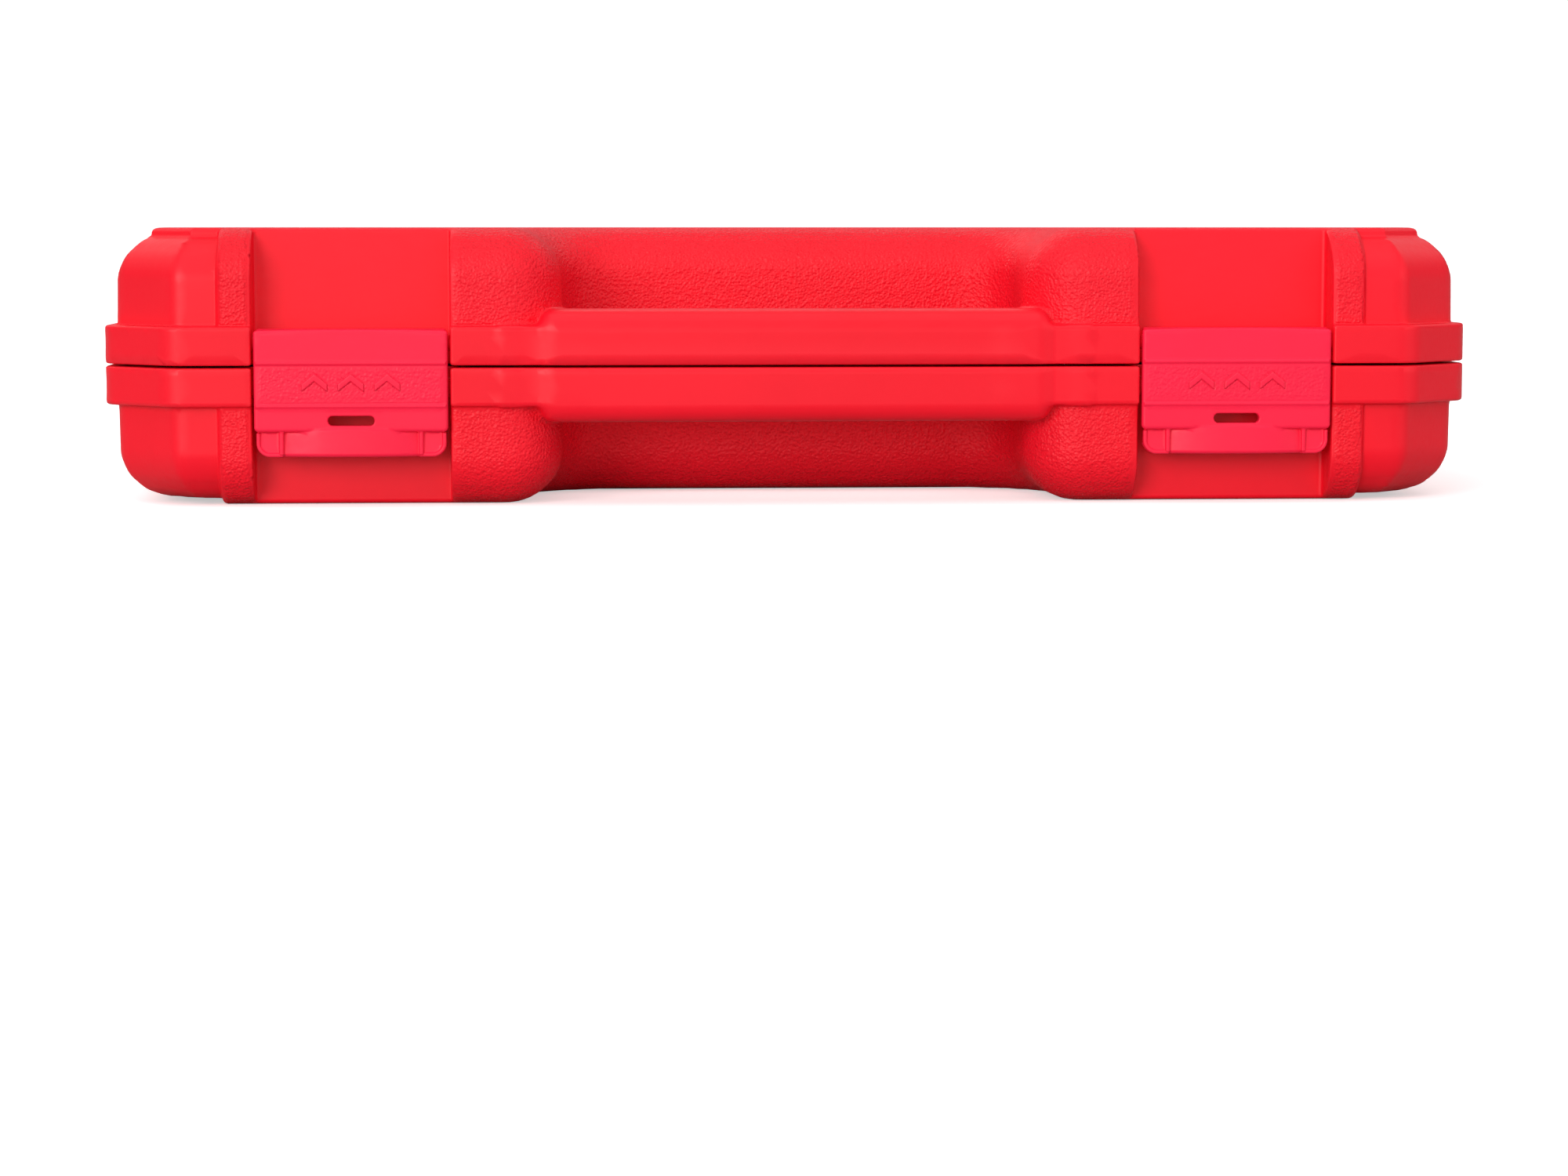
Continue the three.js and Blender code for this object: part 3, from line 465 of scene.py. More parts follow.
def hole_mouth(outline, groove):
    """Rings out of a square drive hole whose mouth is at height 0, past its ball groove."""
    low, floor_low, floor_high, high = groove
    return [
        (high, outline),
        (floor_high, outline + 0.35),
        (floor_low, outline + 0.35),
        (low, outline),
        (0.9, outline),
        (0.45, np.maximum(outline, 5.85)),
        (0.0, np.maximum(outline, 6.3)),
    ]


def drive_hole(bore):
    """Rings from a round bore down out of a square drive hole."""
    outline = square(DRIVE_HOLE, 6.5)
    rings = rounds((HOLE_DEPTH + 0.05, bore))
    rings += [(HOLE_DEPTH, np.minimum(outline, bore + 0.4)), (HOLE_DEPTH - 0.4, outline)]
    return rings + hole_mouth(outline, (4.0, 4.6, 6.0, 6.6))


def blind_square():
    """Rings from the floor of a blind square drive hole out of its mouth."""
    outline = square(DRIVE_HOLE, 6.5)
    rings = [*rounds((HOLE_DEPTH, 1.0)), (HOLE_DEPTH - 0.2, outline)]
    return rings + hole_mouth(outline, (4.2, 4.6, 5.6, 6.0))


def socket_radius(size):
    return (1.26 * size + 2.2) / 2


def drive_radius(size):
    return max(8.5, socket_radius(size) - 0.5)


def socket_rings(size, length):
    """A socket standing on its drive end."""
    nose, tail = socket_radius(size), drive_radius(size)
    step = min(13.0, length / 2)
    bore = min(4.7, size / 2)
    depth = min(14.0, length / 2)
    outline = hexagon(size + 0.2)
    rings = collar(tail, 2.6, step - 3.4, step - 0.3, 9)
    for i in range(7):
        turn = i / 6 * math.pi / 2
        rings += rounds((step + 2 * math.sin(turn), nose + (tail - nose) * math.cos(turn)))
    rings += rounds((length - 1.0, nose), (length - 0.35, nose - 0.2), (length, nose - 0.8))
    mouth = min(nose - 1.0, (size + 0.2) / math.sqrt(3) + 0.35)
    rings += hole(length, depth, outline, mouth, bore)
    rings += drive_hole(bore)
    return rings


def male_square(low, high, across):
    """Rings of a drive square with a waist for the ball and a broken end."""
    outline = square(across, across * 0.665)
    return [
        (low, outline - 0.15),
        (low + 0.4, outline),
        (high - 1.2, outline),
        (high - 0.5, outline * 0.965),
        (high, outline * 0.86),
    ]


def collar(radius, knurl_low, knurl_high, end, rows):
    """Rings of a knurled drive end, from its broken lower edge to a plain band."""
    rings = rounds((0.0, radius - 0.8), (0.25, radius - 0.3), (0.8, radius), (knurl_low - 0.4, radius))
    rings += knurl(radius, knurl_low, knurl_high, rows=rows)
    return rings + rounds((knurl_high + 0.4, radius), (end, radius))


def extension_rings(length):
    shank, boss = 5.4, 6.6
    rings = blind_square() + collar(8.5, 3.0, 15.5, 19.0, 13)
    rings += rounds((20.2, 8.2), (21.8, 7.2), (23.4, 6.2), (25.0, 5.6), (26.0, shank))
    for back, radius in ((22, shank), (20.5, 5.7), (18.6, 6.4), (18, boss), (11, boss), (10.4, 6.1)):
        rings += rounds((length - back, radius))
    return rings + male_square(length - 10.2, length, DRIVE)


def adapter_rings(length):
    rings = blind_square() + collar(8.5, 2.6, 9.6, 13.6, 7)
    rings += rounds((14.4, 8.1), (16.6, 6.2), (18.0, 5.4))
    return rings + male_square(18.1, length, 6.35)


def bit_rings(across, length):
    rings = blind_square() + collar(9.0, 3.0, 12.0, 20.6, 9)
    rings += rounds((21.2, 8.8), (23.2, 7.4), (24.0, 6.6))
    key = hexagon(across)
    rings += [(24.1, key), (length - 0.9, key), (length - 0.3, key * 0.93), (length, key * 0.84)]
    return rings


def plug_rings():
    """The spark plug socket, with room behind its hexagon for the rubber grip."""
    length, radius, wide = PLUG[2], PLUG[3], 10.2
    rings = collar(11.0, 3.0, 14.0, 16.6, 9)
    rings += rounds((17.2, 11.2), (19.0, 12.8), (20.0, radius), (24.0, radius), (24.3, radius - 0.35))
    rings += rounds((25.7, radius - 0.35), (26.0, radius), (length - 1.2, radius), (length, radius - 0.9))
    rings += hole(length, 21.0, hexagon(20.8), 12.3, wide) + rounds((28.0, wide), (27.9, 4.7))
    return rings + drive_hole(4.7)


def plug_grip_rings():
    rings = rounds((28.3, 9.4), (28.8, 9.9), (43.0, 9.9), (43.5, 9.4))
    rings += rounds(*((43.5 - 0.2 * i, 7.4 - 0.2 * i) for i in range(7)))
    for i in range(4):
        rings += rounds((41 - 3.4 * i, 6.2), (40 - 3.4 * i, 6.8), (39 - 3.4 * i, 6.2))
    return rings + rounds((28.3, 6.4))


def gear_rings():
    """The drive gear: hub, toothed rim, collar and drive square, round the button's bore."""
    teeth = np.where(np.arange(AROUND) % 2 == 0, 10.8, 9.9)
    rings = [(13.0, square(DRIVE) * 0.86), (13.5, square(DRIVE) * 0.965), (14.2, square(DRIVE, 6.35))]
    rings += [(24.4, square(DRIVE, 6.35)), *rounds((24.5, 7.9), (26.2, 7.9))]
    rings += [(26.3, teeth - 0.4), (26.7, teeth), (34.2, teeth), (34.6, teeth - 0.4)]
    rings += rounds((34.7, 5.2), (36.8, 5.2), (37.2, 4.8), (37.2, 3.8), (36.9, 3.5), (27.6, 3.5))
    return rings + rounds((27.5, 1.75), (13.6, 1.75), (13.0, 2.2))


def button_rings():
    rings = rounds((15.4, 1.1), (15.7, 1.4), (17.3, 1.4), (17.9, 0.7), (20.2, 0.7), (20.8, 1.4))
    rings += rounds((29.3, 1.4), (29.4, 3.1), (37.3, 3.1), (37.6, 2.9), (38.3, 2.7), (38.6, 2.2))
    return rings + rounds((38.45, 1.2), (38.4, 0.3))


def screw_rings():
    """A round-headed screw with a hexagon recess."""
    rings = rounds((29.0, 0.8), (29.4, 1.1), (35.85, 1.1), (35.9, 1.8), (36.3, 1.8), (36.55, 1.6))
    rings += [*rounds((36.6, 1.35)), (36.6, hexagon(1.9)), (36.0, hexagon(1.8))]
    return rings + rounds((35.9, 0.2))


def ball_rings(radius):
    polars = [math.pi * i / 16 for i in range(1, 16)]
    return rounds(*((-radius * math.cos(polar), radius * math.sin(polar)) for polar in polars))


# ---------- fields of the pieces that aren't turned ----------
def capsule(x, y, shrink):
    """The ratchet head in plan: a large and a small circle and their tangents, shrunk."""
    big, small, apart = 18.0, 12.2, 17.0
    slant = (big - small) / apart
    rise = math.sqrt(1 - slant * slant)
    across = np.abs(y)
    along = x * rise - across * slant
    round_end = np.hypot(x, across) - big
    tail_end = np.hypot(x - apart, across) - small
    flank = across * rise + x * slant - big
    return np.where(along < 0, round_end, np.where(along > rise * apart, tail_end, flank)) + shrink


def smooth_steps(x, stations):
    """A radius that eases from one station to the next."""
    value = np.full_like(x, stations[0][1], dtype=float)
    for (x0, r0), (x1, r1) in zip(stations, stations[1:]):
        share = np.clip((x - x0) / (x1 - x0), 0, 1)
        value = value + (r1 - r0) * share * share * (3 - 2 * share)
    return value


# The ratchet's handle: distance from the head's middle, and radius.
GRIP = [(20, 5.4), (40, 5.0), (60, 4.7), (90, 8.2), (110, 8.7), (150, 8.5), (176, 8.0), (186, 7.9)]
RATCHET_Z = 30.5
SELECTOR_X = 16.2
SCREW_X, SCREW_Y = -2.0, 13.4


def ratchet_body(x, y, z):
    head = round_max(capsule(x, y, 0), np.abs(z - RATCHET_Z) - 6, 1.6)
    radius = smooth_steps(x, GRIP)
    around = np.arctan2(y, z - RATCHET_Z)
    held = np.clip((x - 98) / 1.5, 0, 1) * np.clip((174 - x) / 1.5, 0, 1)
    cuts = np.abs(np.sin(12 * around + 1.15 * x)) + np.abs(np.sin(12 * around - 1.15 * x))
    grooves = np.clip((np.abs(x - 95) - 1.0) * 2, -1, 0) + np.clip((np.abs(x - 178) - 1.0) * 2, -1, 0)
    radius = radius + held * (0.28 * cuts - 0.3) + 0.45 * grooves
    off_axis = np.hypot(y, z - RATCHET_Z)
    handle = round_max(off_axis - radius, np.maximum(20 - x, x - 191), 2.6)
    body = round_min(head, handle, 4.0)
    bowl = np.hypot(x, y)
    bowls = np.minimum(bowl - 11.4, np.hypot(x - SELECTOR_X, y) - 9)
    body = np.maximum(body, -np.maximum(bowls, 26 - z))
    body = np.maximum(body, 8.3 - bowl)
    return round_max(body, -np.maximum(capsule(x, y, 2.2), 34.7 - z), 0.3)


def ratchet_cover(x, y, z):
    plate = round_max(capsule(x, y, 2.6), np.abs(z - 35.6) - 0.7, 0.35)
    holes = np.minimum(np.hypot(x, y) - 5.6, np.hypot(x - SELECTOR_X, y) - 3.4)
    screws = np.hypot(x - SCREW_X, np.abs(y) - SCREW_Y)
    holes = np.minimum(holes, np.minimum(screws - 1.4, np.maximum(screws - 2.1, 35.6 - z)))
    rim = np.maximum(np.abs(np.hypot(x, y) - 8.2) - 0.45, 36.05 - z)
    return round_max(round_max(plate, -holes, 0.25), -rim, 0.2)


def ratchet_selector(x, y, z):
    turn = -0.35  # the lever rests turned a little, in radians
    u = x * math.cos(turn) + y * math.sin(turn)
    v = -x * math.sin(turn) + y * math.cos(turn)
    off_axis = np.hypot(u, v)
    flutes = 0.18 * np.cos(18 * np.arctan2(v, u))
    knob = round_max(off_axis - 5.5 - flutes, np.abs(z - 37.65) - 0.95, 0.45)
    width = 2.3 - 0.05 * u
    lever = round_max(rectangle(u - 5.6, v, 5.9, width, 1.2), np.abs(z - 38.05) - 1.35, 0.6)
    stem = np.maximum(off_axis - 1.6, np.abs(z - 32.3) - 5.7)
    return np.minimum(round_min(knob, lever, 0.8), stem)


JOINT_PIN, JOINT_BORE, JOINT_REACH = 2.2, 2.45, 8.6


def yoke(x, y, z, radius, drive):
    """Half of the universal joint along +X, with ears on the Y axis. The cross is at the origin."""
    off_axis = np.hypot(y, z)
    body = round_max(off_axis - radius, np.maximum(JOINT_REACH - x, x - 24.6), 0.9)
    bevel = (off_axis - radius + 2.6 - (x - JOINT_REACH) * 0.93) / 1.37
    body = round_max(body, bevel, 0.5)
    waist = np.abs(x - 20.5) - 1.0
    body = round_max(body, -np.maximum(waist, radius - 0.8 - off_axis), 0.3)
    ear = np.maximum(off_axis - radius, np.maximum(np.abs(z) - 3.4, 5.2 - np.abs(y)))
    tip = np.hypot(np.minimum(x, 0), z) - 3.5
    ear = round_max(ear, np.maximum(tip, x - 12), 0.5)
    body = round_min(body, ear, 0.8)
    if drive:
        neck = round_max(rectangle(y, z, 5.2, 5.2, 1.0), np.abs(x - 25.5) - 2.8, 0.4)
        square_end = round_max(rectangle(y, z, 4.75, 4.75, 0.5), np.abs(x - 26.4) - 2.0, 0.6)
        body = np.minimum(body, np.minimum(neck, square_end))
    else:
        body = round_max(body, -np.maximum(rectangle(y, z, 4.85, 4.85, 0.3), 14 - x), 0.5)
    return np.maximum(body, JOINT_BORE - np.hypot(x, z))


def joint_cross(x, y, z):
    block = round_max(rectangle(x, y, 3.2, 3.2, 0.8), np.abs(z) - 3.2, 0.8)
    pin_y = round_max(np.hypot(x, z) - JOINT_PIN, np.abs(y) - JOINT_REACH, 0.5)
    pin_z = round_max(np.hypot(x, y) - JOINT_PIN, np.abs(z) - JOINT_REACH, 0.5)
    return round_min(block, np.minimum(pin_y, pin_z), 0.5)


# Where the tools lie. Deep sockets lie along -Y from DEEP_START, short ones stand on their drive end.
DEEP_SIZES = (10, 11, 12, 13, 14, 15, 17, 19)
DEEP_PITCH, DEEP_START, DEEP_LENGTH = 37.0, 53.5, 63.0
SHORT_PITCH, SHORT_SEAT, SHORT_LENGTH = 42.0, 6.2, 28.0
SHORT_ROWS = ((70.0, (6, 7, 8, 9, 10, 11, 12)), (98.0, (13, 14, 15, 16, 17, 18, 19)))
RATCHET_X, RATCHET_Y = -96.0, -60.0
JOINT_AT = (-137.0, -97.0, 26.0)
ROOM = 0.8  # room between a tool and its pocket

# Tools that lie along +X, half sunk in the bed: x of the drive end, y, length, widest radius.
PLUG = (92, -101, 65, 13.4)
KEY_6 = (108, -62, 46, 9)
KEY_8 = (108, -31, 46, 9)
LONG_BAR = (-150, -29, 150, 8.5)
SHORT_BAR = (16, -29, 75, 8.5)
ADAPTER = (-96, -101, 27, 8.5)


def row_x(sizes, i, pitch):
    """Where the tool of that number in a row is, with the row's middle at x = 0."""
    return (i - (len(sizes) - 1) / 2) * pitch


def trough(x, y, z, x0, x1, axis_y, axis_z, radius):
    """A round-bottomed pocket along X, open upwards."""
    section = np.hypot(y - axis_y, np.minimum(z - axis_z, 0)) - radius - ROOM
    return np.maximum(section, np.maximum(x0 - ROOM - x, x - x1 - ROOM))


def bed_pockets(x, y, z):
    """All the pockets of the tool bed, as one solid to cut away."""
    cuts = []
    for i, size in enumerate(DEEP_SIZES):
        radius = max(socket_radius(size), drive_radius(size))
        off_axis = np.hypot(x - row_x(DEEP_SIZES, i, DEEP_PITCH), np.minimum(z - BED_TOP, 0))
        cuts.append(np.maximum(off_axis - radius - ROOM, np.maximum(-10.3 - y, y - 54.3)))
    for row_y, sizes in SHORT_ROWS:
        for i, size in enumerate(sizes):
            radius = max(socket_radius(size), drive_radius(size)) + ROOM
            wall = np.hypot(x - row_x(sizes, i, SHORT_PITCH), y - row_y) - radius
            cuts.append(np.maximum(wall, 5.6 - z))
    head = capsule(x - RATCHET_X, y - RATCHET_Y, -ROOM)
    cuts.append(np.maximum(head, 23.9 - z))
    cuts.append(np.maximum(np.hypot(x - RATCHET_X, y - RATCHET_Y) - 8.2, 11.8 - z))
    cuts.append(trough(x, y, z, -78, 96, RATCHET_Y, RATCHET_Z, 8.8))
    cuts.append(trough(x, y, z, -161.5, -146, JOINT_AT[1], JOINT_AT[2], 9.2))
    for x0, axis_y, length, radius in (PLUG, KEY_6, KEY_8, LONG_BAR, SHORT_BAR, ADAPTER):
        cuts.append(trough(x, y, z, x0, x0 + length, axis_y, BED_TOP, radius))
    trays = [(-146, -107, -117, -77, 6.0), (-8, 26, -77, -45, 19.0)]
    trays += [(-84, -58, -42, -16, 20.5), (40, 62, -42, -16, 20.5)]
    for x0, x1, y0, y1, floor in trays:
        cuts.append(np.maximum(panel(x, y, x0, x1, y0, y1, 3.0), floor - z))
    return reduce(np.minimum, cuts)


def lining(x, y, z, low, high, edge_low, edge_high):
    """A block that fills one case half, with a raised border all round."""
    depth = half_depth(low > PARTING)
    u, t = plan(x, y), np.abs(z - PARTING)
    outline = round_max(u + WALL + 0.6, WALL + GAP - bay(x, y), 1.0)
    inside = body_profile(u, t, -WALL - 0.6, depth - SMOOTH_DROP - WALL - 0.4, 1.0)
    block = np.maximum(round_max(outline, np.maximum(low - z, z - high), 0.5), inside)
    border = round_max(outline, -(outline + 2.6), 0.3)
    border = round_max(border, np.maximum(edge_low - z, z - edge_high), 0.6)
    return round_min(block, border, 0.8)


def tool_bed(x, y, z):
    block = lining(x, y, z, 4.0, BED_TOP, 12.0, PARTING - GAP)
    inner = np.maximum(plan(x, y) + WALL + 3.4, WALL + GAP + 2.8 - bay(x, y))
    behind = np.maximum(-14 - y, 21.5 - z)
    rear = np.maximum(56 - y, 13.5 - z)
    corner = np.maximum(np.maximum(87 - x, y + 80), 20 - z)
    lower = round_max(np.minimum(np.minimum(behind, rear), corner), inner, 1.5)
    block = round_max(block, -lower, 0.9)
    return round_max(block, -bed_pockets(x, y, z), 0.9)


# Hold-down pads of the liner: x from and to, y from and to, and how far down.
PADS = ((-152, 152, 60, 114, 35.6), (-84, 90, -74, -46, 41.2), (-152, 92, -38, -20, 39.5))


def lid_liner(x, y, z):
    block = lining(x, y, z, LINER_FACE, 64.0, PARTING + GAP, 55.0)
    for x0, x1, y0, y1, low in PADS:
        pad = round_max(panel(x, y, x0, x1, y0, y1, 5.0), np.maximum(low - z, z - LINER_FACE - 4), 1.6)
        block = round_min(block, pad, 1.5)
    channel = np.abs(np.mod(x + 19, 38) - 19) - 3  # shallow grooves across, 38 mm apart
    stretch = rectangle(0, y - 24, 1, 24, 0.5)
    stretch = np.minimum(stretch, np.abs(y + 92) - 10)
    groove = np.maximum(np.maximum(channel, stretch), z - LINER_FACE - 1.8)
    groove = np.maximum(groove, np.abs(x) - 130)
    return round_max(block, -groove, 1.2)


# ---------- latches ----------
LATCH_HALF = 24.0
LATCH_FACE = -133.9


def chevrons(x, z):
    """Three small arrowheads that point the way the latch opens."""
    u = np.mod(np.abs(x + 4.5), 9.0) - 4.5
    stroke = np.abs(z - 32.4 + 0.8 * np.abs(u)) / 1.28 - 0.75
    return round_max(round_max(stroke, np.abs(u) - 3.2, 0.2), np.abs(x) - 13.0, 0.2)


def latch(x, y, z):
    """A latch in its own x, with the case's y and z."""
    front = LATCH_FACE - y
    crown = 44.6 - 0.0009 * x * x - z
    plate = rectangle(x, z - 31.7, LATCH_HALF, 12.9, 1.2)
    plate = round_max(plate, -crown, 0.8)
    plate = round_max(plate, np.maximum(front, y - LATCH_FACE - 2.4), 0.8)
    for height in (35.9, 25.2):
        ridge = np.hypot(z - height, y - LATCH_FACE - 0.1) - 0.42
        plate = round_min(plate, np.maximum(ridge, np.abs(x) - LATCH_HALF + 0.5), 0.3)
    mark = round_max(chevrons(x, z), np.maximum(LATCH_FACE - 0.4 - y, y - LATCH_FACE - 1), 0.2)
    plate = np.minimum(plate, mark)
    side = np.abs(x)
    bow = LATCH_FACE - 0.55 + 2.3 * np.clip(side / 16.8, 0, 1) ** 2.6
    tab = LATCH_FACE + 1.5
    face = np.where(side < 17.0, bow, tab) + 0.05 * (z - 18.8)
    top = 18.7 + 1.1 * np.clip(1 - (x / 12.5) ** 2, 0, 1)
    outline = rectangle(x, z - 19.8, 23.5, 7.2, 3.4)
    lip = round_max(outline, np.maximum(face - y, y - LATCH_FACE - 5.0), 0.9)
    lip = round_max(lip, z - top, 0.5)
    ribs = rectangle(side - 17.3, z - 15.9, 0.55, 2.9, 0.4)
    ribs = round_max(ribs, np.maximum(LATCH_FACE + 0.45 - y, y - LATCH_FACE - 3), 0.4)
    border = round_max(outline, -0.9 - outline, 0.2)
    border = round_max(border, np.maximum(LATCH_FACE + 0.8 - y, y - LATCH_FACE - 3), 0.3)
    border = np.maximum(border, np.maximum(z - 18.5, 17.0 - side))
    lip = round_min(lip, np.minimum(ribs, border), 0.4)
    ring = np.hypot(y - LATCH_Y, z - LATCH_Z) - 3.6
    ring = round_max(ring, np.abs(x) - LATCH_HALF + 0.5, 0.6)
    hook = round_max(rectangle(y + 132.0, z - 25.2, 1.6, 1.2, 0.3), np.abs(x) - 21.6, 0.4)
    body = np.minimum(round_min(plate, lip, 0.5), round_min(plate, np.minimum(ring, hook), 0.6))
    hollow = np.maximum(np.maximum(LATCH_FACE + 2.2 - y, z - 30), 15.4 - z)
    body = np.where(z < 22, round_max(body, -hollow, 0.4), body)
    slot = rectangle(x, z - 21.6, 5.75, 1.2, 1.15)
    body = round_max(body, -slot, 0.35)
    mouth = np.maximum(LATCH_Y - 0.9 - y, z - LATCH_Z)
    mouth = np.maximum(mouth, LATCH_Z - 5.5 - z)
    body = np.maximum(body, -mouth)
    return np.maximum(body, 2.3 - np.hypot(y - LATCH_Y, z - LATCH_Z))


def latch_grain(x, y, z):
    band = np.clip((30.55 + 4.6 - z) * 2, 0, 1) * np.clip((z - 26.0) * 2, 0, 1)
    inner = np.clip((LATCH_HALF - 1.2 - np.abs(x)) * 2, 0, 1)
    near_face = np.clip((LATCH_FACE + 0.6 - y) * 3, 0, 1)
    return 0.4 * band * inner * near_face * np.clip(chevrons(x, z) * 3, 0, 1)


# ---------- materials ----------
def feed(tree, socket, value):
    """Links a node's output to an input, or gives the input a plain value."""
    if isinstance(value, bpy.types.NodeSocket):
        tree.links.new(value, socket)
    else:
        socket.default_value = value


def add_node(tree, kind, inputs=None, **settings):
    made = tree.nodes.new(kind)
    for key, value in settings.items():
        setattr(made, key, value)
    for key, value in (inputs or {}).items():
        feed(tree, made.inputs[key], value)
    return made


class Finish:
    """A material under construction, on a Principled surface."""

    def __init__(self, name):
        self.material = bpy.data.materials.new(name + "_finish")
        self.material.use_nodes = True
        self.tree = self.material.node_tree
        self.surface = self.tree.nodes["Principled BSDF"]
        self.place = self.node("ShaderNodeTexCoord").outputs["Object"]
        self.relief = None

    def node(self, kind, inputs=None, **settings):
        return add_node(self.tree, kind, inputs, **settings)

    def set(self, key, value):
        feed(self.tree, self.surface.inputs[key], value)

    def stretched(self, scale):
        return self.node("ShaderNodeMapping", {"Vector": self.place, "Scale": scale}).outputs[0]

    def noise(self, scale, detail=2.0, where=None):
        inputs = {"Vector": where or self.place, "Scale": scale, "Detail": detail}
        return self.node("ShaderNodeTexNoise", inputs).outputs["Fac"]

    def cells(self, scale):
        inputs = {"Vector": self.place, "Scale": scale, "Smoothness": 0.6}
        return self.node("ShaderNodeTexVoronoi", inputs, feature="SMOOTH_F1").outputs["Distance"]

    def remap(self, value, low, high, out_low, out_high):
        inputs = {"Value": value, "From Min": low, "From Max": high}
        inputs.update({"To Min": out_low, "To Max": out_high})
        return self.node("ShaderNodeMapRange", inputs).outputs[0]

    def mix(self, share, first, second):
        made = self.node("ShaderNodeMix", data_type="RGBA")
        for socket, value in ((made.inputs[0], share), (made.inputs[6], first), (made.inputs[7], second)):
            feed(self.tree, socket, value)
        return made.outputs[2]

    def bump(self, height, distance, strength=1.0):
        """Adds relief of that depth in metres on top of what is there."""
        inputs = {"Height": height, "Distance": distance, "Strength": strength}
        if self.relief is not None:
            inputs["Normal"] = self.relief
        self.relief = self.node("ShaderNodeBump", inputs).outputs[0]
        self.set("Normal", self.relief)

    def edge_highlight(self, low, high):
        """0 on flat surfaces, rising to 1 along sharp outer edges, where a painted highlight goes."""
        edge = self.node("ShaderNodeNewGeometry").outputs["Pointiness"]
        return self.remap(edge, low, high, 0.0, 1.0)


def moulded_plastic(name, colour, dark, light, grained):
    """Polyethylene: satin, slightly mottled, with a painted highlight along sharp outer edges, and if it
    is grained, leathery where "grain" is 1.
    """
    finish = Finish(name)
    mottle = finish.remap(finish.noise(26.0, 4.0), 0.35, 0.7, 0.0, 1.0)
    body = finish.mix(mottle, colour, dark)
    # painted highlight: sharp outer edges turn towards the lighter colour
    body = finish.mix(finish.edge_highlight(0.53, 0.64), body, light)
    finish.set("Base Color", body)
    finish.set("IOR", 1.5)
    finish.set("Specular IOR Level", 0.25)
    scuffs = finish.noise(60.0, 6.0, finish.stretched((3.0, 40.0, 12.0)))
    rough = finish.remap(scuffs, 0.3, 0.75, 0.34, 0.46)
    if grained:
        mask = finish.node("ShaderNodeAttribute", attribute_name="grain").outputs["Fac"]
        soft = finish.node("ShaderNodeMath", {0: rough, 1: 0.04}, operation="ADD").outputs[0]
        rough = finish.mix(mask, rough, soft)
    finish.set("Roughness", rough)
    finish.bump(finish.noise(9.0, 2.0), 0.0009)
    finish.bump(finish.noise(1500.0, 2.0), 0.000012)
    if grained:
        pits = finish.cells(1500.0)
        wrinkles = finish.noise(1000.0, 3.0)
        relief = finish.node("ShaderNodeMath", {0: pits, 1: wrinkles}, operation="ADD").outputs[0]
        grain = finish.node("ShaderNodeMath", {0: relief, 1: mask}, operation="MULTIPLY").outputs[0]
        finish.bump(grain, 0.00028)
    return finish.material


def metal(name, colour, rough_low, rough_high, brushed, along=(1.0, 1.0, 1.0), scratch=0.000006):
    """A metal with smudges in its polish, fine tool marks and a painted glint along sharp outer edges."""
    finish = Finish(name)
    finish.set("Metallic", 1.0)
    smudge = finish.noise(55.0, 5.0)
    shade = tuple(0.86 * channel for channel in colour[:3]) + (1.0,)
    # painted glint: sharp outer edges are brightened
    edge_glint = finish.edge_highlight(0.52, 0.6)
    tone = finish.mix(finish.remap(smudge, 0.4, 0.75, 0.0, 0.7), colour, shade)
    bright = tuple(min(1.0, 1.12 * channel) for channel in colour[:3]) + (1.0,)
    finish.set("Base Color", finish.mix(edge_glint, tone, bright))
    finish.set("Roughness", finish.remap(smudge, 0.3, 0.75, rough_low, rough_high))
    marks = finish.noise(brushed, 3.0, finish.stretched(along))
    finish.bump(marks, scratch)
    finish.bump(finish.noise(2400.0, 2.0), 0.000003)
    return finish.material


def rubber_finish(name):
    """Dull black rubber."""
    finish = Finish(name)
    tone = finish.remap(finish.noise(120.0, 4.0), 0.3, 0.7, 0.0, 1.0)
    finish.set("Base Color", finish.mix(tone, (0.018, 0.018, 0.019, 1), (0.03, 0.03, 0.031, 1)))
    finish.set("Roughness", 0.62)
    finish.bump(finish.noise(1800.0, 3.0), 0.00002)
    return finish.material


# The third colour of each plastic is its painted edge highlight.
case_red = moulded_plastic(
    "case_red", (0.95, 0.006, 0.022, 1), (0.9, 0.005, 0.019, 1), (0.96, 0.025, 0.042, 1), True
)
latch_red = moulded_plastic(
    "latch_red", (0.98, 0.013, 0.06, 1), (0.95, 0.011, 0.052, 1), (0.98, 0.04, 0.085, 1), True
)
lining_red = moulded_plastic(
    "lining_red", (0.93, 0.006, 0.022, 1), (0.88, 0.005, 0.019, 1), (0.95, 0.025, 0.042, 1), False
)
chrome = metal("chrome", (0.80, 0.81, 0.83, 1), 0.05, 0.13, 400.0, (1, 1, 6))
satin_steel = metal("satin_steel", (0.62, 0.63, 0.65, 1), 0.24, 0.36, 500.0, (1, 8, 8), 0.00001)
steel = metal("steel", (0.56, 0.57, 0.58, 1), 0.18, 0.30, 700.0, (1, 1, 5), 0.000008)
black_steel = metal("black_steel", (0.055, 0.055, 0.06, 1), 0.28, 0.42, 600.0)
rubber = rubber_finish("rubber")


SLOT_OF = {chrome: "chrome", satin_steel: "satin_steel", steel: "steel", rubber: "rubber"}


# ---------- assembly ----------
def stands_for(piece, body, slot, *nodes):
    """Names the body that a piece rides on and the CAD nodes it replaces; slot is not used."""
    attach(piece, body)
    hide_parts(*nodes)


def at_rest(field, x, y, z=0.0):
    """A field whose own origin stands at x, y, z in the case."""
    return lambda px, py, pz: field(px - x, py - y, pz - z)


def from_parting(field, of_lid):
    """A field of a case half, given in z instead of its own height over the parting."""
    if of_lid:
        return lambda x, y, z: field(x, y, z - PARTING)
    return lambda x, y, z: field(x, y, PARTING - z)


